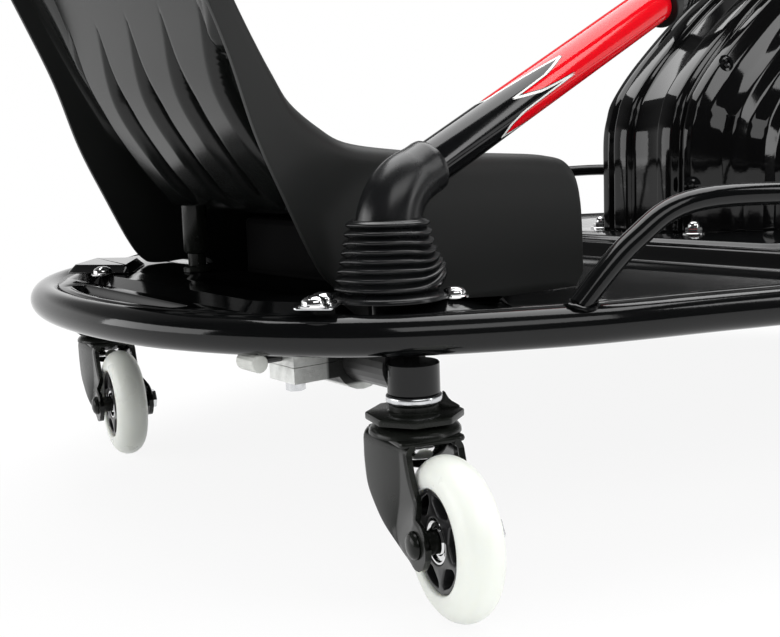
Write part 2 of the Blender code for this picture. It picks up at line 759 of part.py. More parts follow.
def bar_path(low, steps=7):
    """Points of the bar: up through the deck, round the elbow and forward along the slope."""
    turn = pi / 2 - BAR_SLOPE
    set_back = BAR_BEND_R * tan(turn / 2)
    start = Vector((BAR_X, BAR_CORNER_Z - set_back))
    centre = Vector((BAR_X + BAR_BEND_R, start.y))
    points = [Vector((BAR_X, low))]
    for k in range(steps + 1):
        a = pi - turn * k / steps
        points.append(centre + Vector((cos(a), sin(a))) * BAR_BEND_R)
    return points


def along_slope(x):
    """The bar's centre on its straight run, at a place along X."""
    return Vector((x, BAR_CORNER_Z + (x - BAR_X) * tan(BAR_SLOPE)))


def in_bar_plane(points):
    return [(p.x, BAR_Y, p.y) for p in points]


BAR_WAY = Vector((cos(BAR_SLOPE), sin(BAR_SLOPE)))
GRIP_START = along_slope(BAR_END_X) + BAR_WAY * (GRIP_RING_W + 2 * GAP)
GRIP_END = GRIP_START + BAR_WAY * GRIP_LENGTH


def make_drift_bar():
    """The bent tube, with the thinner spigot that the grip is pushed onto."""
    path = bar_path(SHAFT_Z + SHAFT_R * 0.45) + [along_slope(BAR_END_X)]
    bar = tube("drift_bar", in_bar_plane(path), BAR_R, 3)
    tip = GRIP_END - BAR_WAY * 0.006
    root = along_slope(BAR_END_X - 0.01)
    spigot = rod("spigot", (root.x, BAR_Y, root.y), (tip.x, BAR_Y, tip.y), GRIP_SPIGOT_R, 16)
    bar = combine(bar, spigot, "UNION")
    seat = rod("seat", (0, BAR_Y - 0.03, SHAFT_Z), (0, BAR_Y + 0.03, SHAFT_Z), SHAFT_R + GAP, 24)
    return finish_piece(combine(bar, seat, "DIFFERENCE"), GLOSS, drift_axis)


def on_bar(obj, start):
    """Put a piece that was turned about Z on the bar's straight run."""
    turn = Vector((BAR_WAY.x, 0, BAR_WAY.y)).to_track_quat("Z", "Y").to_matrix().to_4x4()
    return moved(obj, Matrix.Translation((start.x, BAR_Y, start.y)) @ turn)


make_drift_shaft()
make_drift_bar()
grip_bore = GRIP_SPIGOT_R + GAP
grip_profile = [(0, GRIP_LENGTH), (GRIP_R * 0.75, GRIP_LENGTH), (GRIP_R, GRIP_LENGTH - 0.004),
                (GRIP_R * 0.96, GRIP_LENGTH * 0.5), (GRIP_R, 0.004), (GRIP_R, 0), (grip_bore, 0),
                (grip_bore, GRIP_LENGTH - 0.0055), (0, GRIP_LENGTH - 0.0055)]
grip = turned("bar_grip", grip_profile, 16)
finish_piece(on_bar(grip, GRIP_START), RUBBER, drift_axis)
ring_profile = [(GRIP_RING_R - 0.001, GRIP_RING_W), (GRIP_RING_R, GRIP_RING_W - 0.001), (GRIP_RING_R, 0.001),
                (GRIP_RING_R - 0.001, 0), (grip_bore, 0), (grip_bore, GRIP_RING_W)]
grip_ring = turned("grip_ring", ring_profile, 16, closed=True)
finish_piece(on_bar(grip_ring, along_slope(BAR_END_X) + BAR_WAY * GAP), SATIN, drift_axis)


def make_sleeve():
    """The moulded elbow sleeve, bored for the bar and thinner toward its upper end."""
    path = bar_path(SLEEVE_LOW_Z) + [along_slope(SLEEVE_END_X)]
    count = len(path)
    lengths = [0.0]
    for a, b in zip(path, path[1:]):
        lengths.append(lengths[-1] + (b - a).length)
    radii = [SLEEVE_LOW_R + (SLEEVE_TOP_R - SLEEVE_LOW_R) * s / lengths[-1] for s in lengths]
    rings = []
    for inner in (False, True):
        order = range(count - 1, -1, -1) if inner else range(count)
        for k in order:
            before, after = path[max(k - 1, 0)], path[min(k + 1, count - 1)]
            along = (after - before).normalized()
            across = Vector((along.y, -along.x))
            radius = BAR_R / cos(pi / SLEEVE_SIDES) + GAP if inner else radii[k]
            ring = []
            for i in range(SLEEVE_SIDES):
                a = 2 * pi * i / SLEEVE_SIDES
                p = path[k] + across * (radius * cos(a))
                ring.append((p.x, BAR_Y + radius * sin(a), p.y))
            rings.append(ring)
    return finish_piece(loft("elbow_sleeve", rings, closed=True), RUBBER, drift_axis)


make_sleeve()


def boot_profile():
    """Ribs from the neck down to the skirt on the outer side, then the plain bore back up."""
    low = TUNNEL_Z + GAP + BOOT_SKIRT_T
    pitch = (BOOT_TOP_Z - low) / BOOT_RIBS
    profile = []
    for k in range(BOOT_RIBS):
        share = k / (BOOT_RIBS - 1)
        crest = BOOT_TOP_R + (BOOT_BASE_R - BOOT_TOP_R) * share ** 0.8
        top = BOOT_TOP_Z - k * pitch
        profile.append((crest - BOOT_RIB_DEPTH, top - pitch * 0.02))
        profile.append((crest, top - pitch * 0.32))
        profile.append((crest, top - pitch * 0.68))
    profile.append((BOOT_BASE_R - BOOT_RIB_DEPTH, low + pitch * 0.02))
    profile.append((BOOT_SKIRT_R - 0.001, low))
    profile.append((BOOT_SKIRT_R, low - BOOT_SKIRT_T * 0.5))
    profile.append((BOOT_SKIRT_R, low - BOOT_SKIRT_T))
    bore_low = BOOT_BASE_R - BOOT_RIB_DEPTH - BOOT_WALL
    profile.append((bore_low, low - BOOT_SKIRT_T))
    profile.append((bore_low, low + pitch))
    profile.append((SLEEVE_LOW_R + GAP, BOOT_TOP_Z - pitch * 0.02))
    return profile


boot = turned("boot", boot_profile(), BOOT_SIDES, closed=True)
finish_piece(moved(boot, Matrix.Translation((BAR_X, BAR_Y, 0))), RUBBER)

# Swivel casters, each laid out about its own kingpin with the wheel's trail along +X


def octagon(radius):
    return [(radius * cos(radians(22.5 + 45 * k)), radius * sin(radians(22.5 + 45 * k))) for k in range(8)]


def make_plate(name, swivel, side):
    """Top plate of a caster: octagon, neck, web, kingpin and the nut that holds the fork."""
    plate = prism(name, octagon(PLATE_R), PLATE_Z, PLATE_Z + PLATE_T)
    plate = moved(plate, Matrix.Rotation(swivel, 4, "Z"))
    under = CROWN_Z + CROWN_DOME_T + GAP
    boss = CROWN_HALF * 0.7
    pin_low = KINGPIN_NUT_LOW + 0.001
    stack = [(0, NECK_TOP), (NECK_R, NECK_TOP), (NECK_R, PLATE_Z + PLATE_T * 0.5), (boss, PLATE_Z + 0.001),
             (boss, under), (KINGPIN_R, under), (KINGPIN_R, pin_low), (0, pin_low)]
    plate = combine(plate, turned("stack", stack, 16), "UNION")
    nut_top = CROWN_Z - CROWN_T - GAP - CUP_H - GAP
    nut = rod("nut", (0, 0, KINGPIN_NUT_LOW), (0, 0, nut_top), KINGPIN_NUT_R, 6)
    plate = combine(plate, nut, "UNION")
    reach = PLATE_R * 0.93
    root = NECK_R * 0.6
    foot = PLATE_Z + PLATE_T
    top = NECK_TOP + WASHER_T
    web_outline = [(root, foot - 0.0017), (reach, foot - 0.0017), (reach, foot + 0.001),
                   (WEB_REACH + 0.0045, foot + 0.0035), (WEB_REACH + 0.0012, NECK_TOP),
                   (WEB_REACH, top), (WASHER_R + GAP, top), (WASHER_R + GAP, NECK_TOP - 0.0001),
                   (root, NECK_TOP - 0.0001)]
    web = slab("web", web_outline, WEB_T / 2)
    web = moved(web, Matrix.Rotation(-side * WEB_ANGLE, 4, "Z"))
    plate = combine(plate, web, "UNION")
    return moved(plate, Matrix.Translation((0, side * TRACK_HALF, 0)))


def leg_outline():
    """One leg of the fork, seen from the side: wide at the crown, swept to a round boss."""
    back = [(-CROWN_HALF, CROWN_Z - 0.0012), (-CROWN_HALF, 0.0686), (-0.0222, 0.0560), (-0.0141, 0.0482),
            (-0.0020, 0.0405), (0.0124, 0.0354), (0.0270, 0.0313)]
    boss = arc((TRAIL, WHEEL_R), LEG_BOSS_R, 250, 418, 9)
    front = [(0.0418, 0.0585), (0.0345, 0.0640), (0.0290, 0.0720), (CROWN_HALF, 0.0810),
             (CROWN_HALF - 0.0005, CROWN_Z - 0.0012)]
    return back + boss + front


def make_fork(name):
    """The pressed fork: domed crown, two legs and their axle holes."""
    low, high = CROWN_Z - CROWN_T, CROWN_Z
    fork = block(name, (-CROWN_HALF, CROWN_HALF), (-LEG_FACE, LEG_FACE), (low, high))
    for side in (-1, 1):
        leg = slab("leg", leg_outline(), LEG_T / 2, side * (LEG_FACE - LEG_T / 2))
        fork = combine(fork, leg, "UNION")
    rim = CROWN_HALF * 0.97
    dome_profile = [(0, high + CROWN_DOME_T), (rim * 0.887, high + CROWN_DOME_T),
                    (rim, high + CROWN_DOME_T * 0.5), (rim, high - 0.001), (0, high - 0.001)]
    fork = combine(fork, turned("dome", dome_profile, 18), "UNION")
    bore = rod("bore", (0, 0, low - 0.01), (0, 0, high + 0.02), KINGPIN_R + GAP, 16)
    fork = combine(fork, bore, "DIFFERENCE")
    hole = rod("hole", (TRAIL, -0.04, WHEEL_R), (TRAIL, 0.04, WHEEL_R), AXLE_R + GAP, 14)
    return combine(fork, hole, "DIFFERENCE")


def make_cup(name):
    """The bright bearing cup under the crown."""
    top = CROWN_Z - CROWN_T - GAP
    bore = KINGPIN_R + GAP
    return turned(name, [(CUP_R, top), (CUP_R, top - CUP_H * 0.62), (CUP_LOW_R + 0.001, top - CUP_H * 0.93),
                         (CUP_LOW_R, top - CUP_H), (bore, top - CUP_H), (bore, top)], 16, closed=True)


def wheel_place(obj):
    """Turn a piece made about Z onto the wheel's axle, which lies along Y at the trail."""
    return moved(obj, Matrix.Translation((TRAIL, 0, WHEEL_R)) @ Matrix.Rotation(pi / 2, 4, "X"))


def make_tyre(name):
    """The cast urethane tyre, a rounded ring on the hub."""
    bore = HUB_R + GAP
    half = WHEEL_W / 2
    shoulder = WHEEL_R - 0.0125
    profile = [(bore, half * 0.86), (bore + 0.0012, half)]
    for k in range(7):
        a = radians(90 - 30 * k)
        profile.append((shoulder + (WHEEL_R - shoulder) * cos(a), half * sin(a)))
    profile += [(bore + 0.0012, -half), (bore, -half * 0.86)]
    return wheel_place(turned(name, profile, 28, closed=True))


def make_hub(name):
    """The moulded hub, with a ring of pockets between its spokes."""
    half = HUB_W / 2
    bore = BEARING_R + GAP
    hub = turned(name, [(HUB_R, half), (HUB_R, -half), (bore, -half), (bore, half)], 28, closed=True)
    inner, outer = BEARING_R + 0.0033, HUB_R - 0.0022
    width = pi / HUB_POCKETS - 0.13
    teardrop = [(outer, -1), (outer, -0.4), (outer, 0.4), (outer, 1), (inner + 0.003, 0.62), (inner, 0),
                (inner + 0.003, -0.62)]
    for k in range(HUB_POCKETS):
        middle = 2 * pi * k / HUB_POCKETS
        outline = [(r * cos(middle + width * t), r * sin(middle + width * t)) for r, t in teardrop]
        hub = combine(hub, prism("pocket", outline, -0.02, 0.02), "DIFFERENCE")
    return wheel_place(hub)


def make_bearing(name):
    """The ball bearing pair as one ring, with the raised edges of its races."""
    half = BEARING_W / 2
    bore = AXLE_R + GAP
    groove = 0.0010
    race = BEARING_R - 0.0022
    profile = [(BEARING_R, half), (BEARING_R, -half), (race, -half), (bore + 0.0030, groove - half),
               (bore, -half), (bore, half), (bore + 0.0030, half - groove), (race, half)]
    return wheel_place(turned(name, profile, 18, closed=True))


def make_axle_bolt(name):
    """The axle: domed head outside the right leg, spacers beside the wheel, plain shank to the nut."""
    face = LEG_FACE + GAP
    near = LEG_FACE - LEG_T - GAP
    inside = BEARING_W / 2 + GAP
    end = -face - NUT_T - 0.0008
    profile = [(0, face + BOLT_HEAD_H), (BOLT_HEAD_R * 0.55, face + BOLT_HEAD_H * 0.93),
               (BOLT_HEAD_R * 0.9, face + BOLT_HEAD_H * 0.6), (BOLT_HEAD_R, face + BOLT_HEAD_H * 0.2),
               (BOLT_HEAD_R, face), (AXLE_R, face), (AXLE_R, near), (SPACER_R, near), (SPACER_R, inside),
               (AXLE_R, inside), (AXLE_R, -inside), (SPACER_R, -inside), (SPACER_R, -near), (AXLE_R, -near),
               (AXLE_R, end), (0, end)]
    return wheel_place(turned(name, profile, 12))


def make_axle_nut(name):
    """The nut on the axle's far end."""
    face = LEG_FACE + 2 * GAP
    nut = rod(name, (TRAIL, face, WHEEL_R), (TRAIL, face + NUT_T, WHEEL_R), NUT_R, 6)
    bore = rod("bore", (TRAIL, face - 0.01, WHEEL_R), (TRAIL, face + 0.02, WHEEL_R), AXLE_R + GAP, 14)
    return combine(nut, bore, "DIFFERENCE")


washer_low = NECK_TOP + GAP
washer_high = washer_low + WASHER_T
chamfer = 0.0012
washer_profile = [(0, washer_high), (WASHER_R - chamfer, washer_high), (WASHER_R, washer_high - chamfer),
                  (WASHER_R, washer_low + chamfer), (WASHER_R - chamfer, washer_low), (0, washer_low)]
for side, label, swivel in ((-1, "right", SWIVEL_RIGHT), (1, "left", SWIVEL_LEFT)):
    kingpin = Vector((0, side * TRACK_HALF, 0))
    stem_foot = kingpin + Vector((0, 0, STEM_LOW))
    stem = rod("stem_" + label, stem_foot, kingpin + Vector((0, 0, STEM_TOP)), STEM_R, 24)
    finish_piece(stem, GLOSS, drift_axis)
    washer = turned("stem_washer_" + label, washer_profile, 24)
    finish_piece(moved(washer, Matrix.Translation(kingpin)), ZINC, drift_axis)
    finish_piece(make_plate("caster_plate_" + label, swivel, side), CAST_BLACK, drift_axis)
    upright = drift_axis.rotation_quaternion.inverted()
    swivel_place = upright @ (kingpin - drift_axis.location)
    swivel_axis = axis_empty("swivel_axis_" + label, swivel_place, parent=drift_axis)
    swivel_axis.rotation_quaternion = upright
    put = Matrix.Translation(kingpin) @ Matrix.Rotation(swivel, 4, "Z")
    for made, finish in ((make_fork("fork_" + label), CAST_BLACK), (make_cup("bearing_cup_" + label), CHROME),
                         (make_axle_bolt("axle_bolt_" + label), CAST_BLACK),
                         (make_axle_nut("axle_nut_" + label), ZINC)):
        finish_piece(moved(made, put), finish, swivel_axis)
    axle_place = put @ Vector((TRAIL, 0, WHEEL_R))
    axle_way = put.to_3x3() @ Vector((0, 1, 0))
    spin_axis = axis_empty("spin_axis_" + label, axle_place - kingpin, axle_way, swivel_axis)
    for made, finish in ((make_tyre("tyre_" + label), WHITE_TYRE), (make_hub("hub_" + label), HOUSING),
                         (make_bearing("bearing_" + label), CHROME)):
        finish_piece(moved(made, put), finish, spin_axis)

# Hood over the drive: an arch that repeats, ever smaller, in steps out to its sides.
# The arch is given from the hood's heart along X.  Each station is its distance from the
# middle and its size against the widest arch
hood_arch = [(-0.270, HOOD_BASE_Z), (-0.270, 0.238), (-0.2655, 0.259), (-0.2560, 0.278), (-0.2214, 0.3124),
             (-0.155, 0.3630), (-0.090, 0.3990), (-0.038, 0.4060), (0.015, 0.391), (0.065, 0.342),
             (0.098, 0.265), (0.108, HOOD_BASE_Z)]
hood_stations = [(0.0000, 0.976), (0.0135, 0.976), (0.0165, 1.000), (0.0330, 1.000), (0.0365, 0.972),
                 (0.0425, 0.985), (0.0510, 0.980), (0.0565, 0.932), (0.0650, 0.900), (0.0740, 0.880),
                 (0.0785, 0.832), (0.0885, 0.800), (0.0925, 0.745), (0.1030, 0.700), (0.1090, 0.640)]


# The column's axis, up and back from the ball joint over the front wheel
COLUMN_WAY = Vector((-sin(COLUMN_TILT), 0, cos(COLUMN_TILT)))
JOINT = Vector((FRONT_WHEEL_X, 0, JOINT_Z))


def make_hood():
    """The one-piece moulded cover, open below, with a hole for the steering column."""
    heart = Vector((HOOD_HEART_X, HOOD_BASE_Z))
    floor = Vector((0, HOOD_BASE_Z))
    shape = bmesh.new()
    rows = []
    both = [(-y, k) for y, k in reversed(hood_stations[1:])] + hood_stations
    for y, k in both:
        row = []
        for x, z in hood_arch:
            p = heart + (Vector((x, z)) - floor) * k
            row.append(shape.verts.new((p.x, y, p.y)))
        rows.append(row)
    for low, high in zip(rows, rows[1:]):
        for i in range(len(low) - 1):
            shape.faces.new((low[i], low[i + 1], high[i + 1], high[i]))
    shape.faces.new(rows[0])
    shape.faces.new(rows[-1])
    hood = from_bmesh("drive_hood", shape)
    top = sum(f.normal.z * f.area for f in hood.data.polygons if f.center.z > 0.35)
    wall = hood.modifiers.new("wall", "SOLIDIFY")
    wall.thickness = HOOD_T
    wall.offset = -1.0 if top > 0 else 1.0
    wall.use_even_offset = False
    hood = settle(hood)
    hole = rod("column_hole", JOINT + COLUMN_WAY * 0.12, JOINT + COLUMN_WAY * 0.26, HOOD_HOLE_R, 24)
    return finish_piece(combine(hood, hole, "DIFFERENCE"), HOOD_BLACK)


make_hood()

# Steering head: a bridge over the wheel well with the head tube, and a block for the column


def make_bridge():
    """A folded bridge whose feet stand on the plinth beside the wheel well."""
    out = BRIDGE_FOOT_Y
    inn = out - BRIDGE_T
    base = PLINTH_Z + GAP
    shoulder = HEAD_TUBE_LOW + 0.010
    half = [(out - BRIDGE_FOOT_W, base + BRIDGE_T), (out - BRIDGE_FOOT_W, base), (out, base),
            (out, shoulder - 0.018), (out - 0.016, shoulder + BRIDGE_T)]
    under = [(inn - 0.014, shoulder), (inn, shoulder - 0.020), (inn, base + BRIDGE_T)]
    outline = half + [(-y, z) for y, z in reversed(half)] + [(-y, z) for y, z in reversed(under)] + under
    low = [(FRONT_WHEEL_X - BRIDGE_HALF_DEPTH, y, z) for y, z in outline]
    high = [(FRONT_WHEEL_X + BRIDGE_HALF_DEPTH, y, z) for y, z in outline]
    bridge = loft("head_bridge", [low, high])
    head = rod("head", (FRONT_WHEEL_X, 0, HEAD_TUBE_LOW), (FRONT_WHEEL_X, 0, HEAD_TUBE_TOP), HEAD_TUBE_R, 24)
    bridge = combine(bridge, head, "UNION")
    bore = rod("bore", (FRONT_WHEEL_X, 0, HEAD_TUBE_LOW - 0.020), (FRONT_WHEEL_X, 0, HEAD_TUBE_TOP + 0.020),
               STEERER_R + GAP, 24)
    return finish_piece(combine(bridge, bore, "DIFFERENCE"), CAST_BLACK)


def make_column_bearing():
    """A bearing block round the column, on an arm that is welded to the head tube."""
    middle = JOINT + COLUMN_WAY * BEARING_BLOCK_AT
    half = COLUMN_WAY * (BEARING_BLOCK_W / 2)
    bearing = rod("column_bearing", middle - half, middle + half, BEARING_BLOCK_R, 20)
    low = HEAD_TUBE_LOW + 0.010 + BRIDGE_T + GAP
    outline = [(FRONT_WHEEL_X, low), (FRONT_WHEEL_X, HEAD_TUBE_TOP - 0.003),
               (FRONT_WHEEL_X - HEAD_TUBE_R - 0.006, HEAD_TUBE_TOP - 0.003),
               (middle.x + 0.004, middle.z - 0.016), (middle.x - 0.010, middle.z - 0.006),
               (middle.x - 0.008, middle.z - 0.036),
               (FRONT_WHEEL_X - HEAD_TUBE_R - 0.014, low)]
    bearing = combine(bearing, slab("arm", outline, 0.005), "UNION")
    head = rod("head", (FRONT_WHEEL_X, 0, HEAD_TUBE_LOW - 0.020), (FRONT_WHEEL_X, 0, HEAD_TUBE_TOP + 0.020),
               HEAD_TUBE_R + GAP, 24)
    bearing = combine(bearing, head, "DIFFERENCE")
    bore = rod("bore", JOINT, JOINT + COLUMN_WAY * 0.2, COLUMN_R + GAP, 20)
    return finish_piece(combine(bearing, bore, "DIFFERENCE"), CAST_BLACK)


make_bridge()
make_column_bearing()

# Front fork: legs, crown, steerer and the cup that holds the column's ball
fork_axis = axis_empty("front_fork_axis", (FRONT_WHEEL_X, 0, DRIVE_CROWN_Z))


def make_drive_fork():
    """Fork of the driven wheel in one weldment."""
    outer = DRIVE_LEG_Y + DRIVE_LEG_T
    reach = DRIVE_LEG_HALF + 0.003
    fork = block("drive_fork", (FRONT_WHEEL_X - reach, FRONT_WHEEL_X + reach), (-outer, outer),
                 (DRIVE_CROWN_Z, DRIVE_CROWN_Z + DRIVE_CROWN_T))
    top = DRIVE_CROWN_Z + DRIVE_CROWN_T * 0.5
    outline = [(FRONT_WHEEL_X + DRIVE_LEG_HALF, top), (FRONT_WHEEL_X - DRIVE_LEG_HALF, top)]
    outline += arc((FRONT_WHEEL_X, DRIVE_R), DRIVE_LEG_HALF, 180, 360, 6)
    for side in (-1, 1):
        leg = slab("leg", outline, DRIVE_LEG_T / 2, side * (DRIVE_LEG_Y + DRIVE_LEG_T / 2))
        fork = combine(fork, leg, "UNION")
    centre = Vector((FRONT_WHEEL_X, 0, DRIVE_R))
    across = Vector((0, 0.05, 0))
    hole = rod("hole", centre - across, centre + across, DRIVE_AXLE_R + GAP, 10)
    fork = combine(fork, hole, "DIFFERENCE")
    socket = JOINT_BALL_R + 3 * GAP
    inside = arc((0, JOINT_Z), socket, -90, -8, 5)
    outside = arc((0, JOINT_Z), JOINT_CUP_R, -8, -degrees(acos(STEERER_R / JOINT_CUP_R)), 3)
    profile = inside + outside + [(STEERER_R, top), (0, top)]
    steerer = moved(turned("steerer", profile, 14), Matrix.Translation((FRONT_WHEEL_X, 0, 0)))
    return finish_piece(combine(fork, steerer, "UNION"), CAST_BLACK, fork_axis)


def front_wheel_place(obj):
    """Turn a piece made about Z onto the front axle."""
    return moved(obj, Matrix.Translation((FRONT_WHEEL_X, 0, DRIVE_R)) @ Matrix.Rotation(pi / 2, 4, "X"))


def make_drive_axle():
    """The motor's fixed axle, with its spacers and the nuts outside the legs."""
    leg_in = DRIVE_LEG_Y - GAP
    leg_out = DRIVE_LEG_Y + DRIVE_LEG_T + GAP
    hub_face = DRIVE_W / 2 - 0.001 + GAP
    spacer = DRIVE_AXLE_R + 0.003
    nut_r = 0.0105
    nut_top = leg_out + 0.006
    half = [(DRIVE_AXLE_R, hub_face), (spacer, hub_face), (spacer, leg_in), (DRIVE_AXLE_R, leg_in),
            (DRIVE_AXLE_R, leg_out), (nut_r, leg_out), (nut_r, nut_top), (DRIVE_AXLE_R, nut_top),
            (DRIVE_AXLE_R, nut_top + 0.003), (0, nut_top + 0.003)]
    profile = [(r, z) for r, z in reversed(half)] + [(r, -z) for r, z in half]
    return finish_piece(front_wheel_place(turned("drive_axle", profile, 8)), ZINC, fork_axis)


make_drive_fork()
make_drive_axle()
drive_axis = axis_empty("drive_wheel_axis", (0, 0, DRIVE_R - DRIVE_CROWN_Z), (0, 1, 0), fork_axis)
half = DRIVE_W / 2
motor_face = [(DRIVE_AXLE_R + GAP, half - 0.001), (0.016, half - 0.001), (0.018, half - 0.0035),
              (0.042, half - 0.0045), (0.044, half - 0.002), (DRIVE_HUB_R, half - 0.002)]
motor_profile = motor_face + [(r, -z) for r, z in reversed(motor_face)]
motor = turned("motor_hub", motor_profile, 24, closed=True)
finish_piece(front_wheel_place(motor), CAST_BLACK, drive_axis)
tread_half = [(DRIVE_HUB_R + GAP, half - 0.002), (0.067, half), (0.0715, half - 0.004), (0.0742, half - 0.0100)]
drive_profile = tread_half + [(DRIVE_R, 0)] + [(r, -z) for r, z in reversed(tread_half)]
finish_piece(front_wheel_place(turned("drive_tyre", drive_profile, 24, closed=True)), TREAD, drive_axis)

# Steering wheel and its column, laid out about the column and then leaned back
column_axis = axis_empty("steering_column_axis", JOINT, COLUMN_WAY)
lean = Matrix.Translation(JOINT) @ Matrix.Rotation(-COLUMN_TILT, 4, "Y")
hub_low = COLUMN_LENGTH - 0.014
column_top = COLUMN_LENGTH - 0.004
ball_profile = [(JOINT_BALL_R * sin(pi * k / 8), JOINT_BALL_R * cos(pi * k / 8)) for k in range(9)]
ball = turned("ball", ball_profile, 14)
column = combine(rod("steering_column", (0, 0, 0.004), (0, 0, column_top - GAP), COLUMN_R, 20), ball, "UNION")
finish_piece(moved(column, lean), CAST_BLACK, column_axis)


def make_steering_rim():
    """Rim, three spokes and the hub, with a socket for the column's end."""
    rings = []
    for k in range(STEERING_RIM_STEPS):
        a = 2 * pi * k / STEERING_RIM_STEPS
        ring = []
        for i in range(8):
            b = 2 * pi * i / 8
            r = STEERING_WHEEL_R - STEERING_RIM_R + STEERING_RIM_R * cos(b)
            ring.append((r * cos(a), r * sin(a), COLUMN_LENGTH + STEERING_RIM_R * sin(b)))
        rings.append(ring)
    wheel = loft("steering_rim", rings, closed=True)
    bore = COLUMN_R + GAP
    face = COLUMN_LENGTH + 0.004
    profile = [(0, face), (STEERING_HUB_R - 0.002, face), (STEERING_HUB_R, face - 0.002),
               (STEERING_HUB_R, hub_low + 0.006), (bore + 0.006, hub_low), (bore, hub_low), (bore, column_top),
               (0, column_top)]
    hub = turned("hub", profile, 14)
    for round_deg in (180, 55, -55):
        spoke = block("spoke", (STEERING_HUB_R * 0.7, STEERING_WHEEL_R - STEERING_RIM_R), (-0.009, 0.009),
                      (COLUMN_LENGTH - 0.0045, COLUMN_LENGTH + 0.001))
        hub = combine(hub, moved(spoke, Matrix.Rotation(radians(round_deg), 4, "Z")), "UNION")
    return finish_piece(moved(combine(wheel, hub, "UNION"), lean), SATIN, column_axis)


make_steering_rim()

# Throttle pedal in its bracket on the deck
pivot = Vector((PEDAL_X, PEDAL_Y, RIM_Z + PEDAL_PIVOT_H))
pedal_axis = axis_empty("pedal_axis", pivot, (0, 1, 0))


def pin_drill():
    """A cutter for the pedal pin's hole."""
    reach = Vector((0, PEDAL_WIDTH, 0))
    return rod("drill", pivot - reach, pivot + reach, PEDAL_PIN_R + GAP, 10)


def make_pedal():
    """The foot plate with the barrel that it turns on."""
    half = PEDAL_WIDTH / 2
    end = Vector((0, half, 0))
    made = rod("throttle_pedal", pivot - end, pivot + end, PEDAL_BARREL_R, 16)
    way = Vector((cos(PEDAL_LEAN), sin(PEDAL_LEAN)))
    across = Vector((-way.y, way.x)) * (PEDAL_T / 2)
    root = Vector((pivot.x, pivot.z))
    tip = root + way * PEDAL_LENGTH
    corners = [root - across, tip - across, tip + across, root + across]
    plate = slab("plate", [(p.x, p.y) for p in corners], half, PEDAL_Y)
    made = combine(made, plate, "UNION")
    return finish_piece(combine(made, pin_drill(), "DIFFERENCE"), RUBBER, pedal_axis)


def make_pedal_bracket():
    """The folded bracket: a foot on the deck and an ear at each end of the barrel."""
    half = PEDAL_WIDTH / 2 + GAP
    ear = 0.003
    base = RIM_Z + GAP
    reach = half + ear
    made = block("pedal_bracket", (PEDAL_X - 0.016, PEDAL_X + 0.030), (PEDAL_Y - reach, PEDAL_Y + reach),
                 (base, base + ear))
    outline = [(PEDAL_X - 0.014, base + ear * 0.5)] + arc((PEDAL_X, pivot.z), 0.008, 180, 0, 8)
    outline += [(PEDAL_X + 0.014, base + ear * 0.5)]
    for side in (-1, 1):
        plate = slab("ear", outline, ear / 2, PEDAL_Y + side * (half + ear / 2))
        made = combine(made, plate, "UNION")
    return finish_piece(combine(made, pin_drill(), "DIFFERENCE"), CAST_BLACK)


make_pedal()
make_pedal_bracket()
pin_half = PEDAL_WIDTH / 2 + 0.004
pin_start = pivot - Vector((0, pin_half, 0))
pin_end = pivot + Vector((0, pin_half + 0.003, 0))
head_t = Vector((0, 0.0025, 0))
pin = rod("pedal_pin", pin_start - head_t / 2, pin_end, PEDAL_PIN_R, 10)
pin_head = rod("pin_head", pin_start - head_t, pin_start, 0.005, 14)
finish_piece(combine(pin, pin_head, "UNION"), ZINC, pedal_axis)

# Power switch and charge port on the deck beside the hood
switch_top = RIM_Z + SWITCH_H
housing = block("power_switch_housing", (SWITCH_X - SWITCH_HALF[0], SWITCH_X + SWITCH_HALF[0]),
                (SWITCH_Y - SWITCH_HALF[1], SWITCH_Y + SWITCH_HALF[1]), (RIM_Z + GAP, switch_top))
housing = soften(housing, 0.0025, 2)
rocker_half = SWITCH_HALF[0] - 0.007
rocker_width = SWITCH_HALF[1] - 0.0055
pocket_half = rocker_half + 0.0012
pocket_width = rocker_width + GAP
pocket = block("pocket", (SWITCH_X - pocket_half, SWITCH_X + pocket_half),
               (SWITCH_Y - pocket_width, SWITCH_Y + pocket_width), (switch_top - 0.010, switch_top + 0.010))
finish_piece(combine(housing, pocket, "DIFFERENCE"), HOUSING)
rocker_z = switch_top - 0.0015
rocker_axis = axis_empty("rocker_axis", (SWITCH_X, SWITCH_Y, rocker_z), (0, 1, 0))
rocker_outline = [(-rocker_half, 0.003), (0, 0.0016), (rocker_half, 0.003), (rocker_half - 0.0005, -0.003),
                  (0, -0.0045), (0.0005 - rocker_half, -0.003)]
rocker = slab("switch_rocker", rocker_outline, rocker_width)
rocker_place = Matrix.Translation((SWITCH_X, SWITCH_Y, rocker_z)) @ Matrix.Rotation(radians(-8), 4, "Y")
finish_piece(moved(rocker, rocker_place), RED, rocker_axis)
port_profile = [(0, 0.006), (0.008, 0.006), (0.008, 0.016), (0.0105, 0.016), (0.012, 0.0145), (0.012, 0.003),
                (0.016, 0.003), (0.016, 0), (0, 0)]
port = turned("charge_port", port_profile, 12)
finish_piece(moved(port, Matrix.Translation((SWITCH_X, -SWITCH_Y, RIM_Z + GAP))), HOUSING)
bpy.context.view_layer.update()
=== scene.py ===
from math import cos, pi, radians, sin, sqrt, tan

import bmesh
import bpy
from mathutils import Matrix, Vector


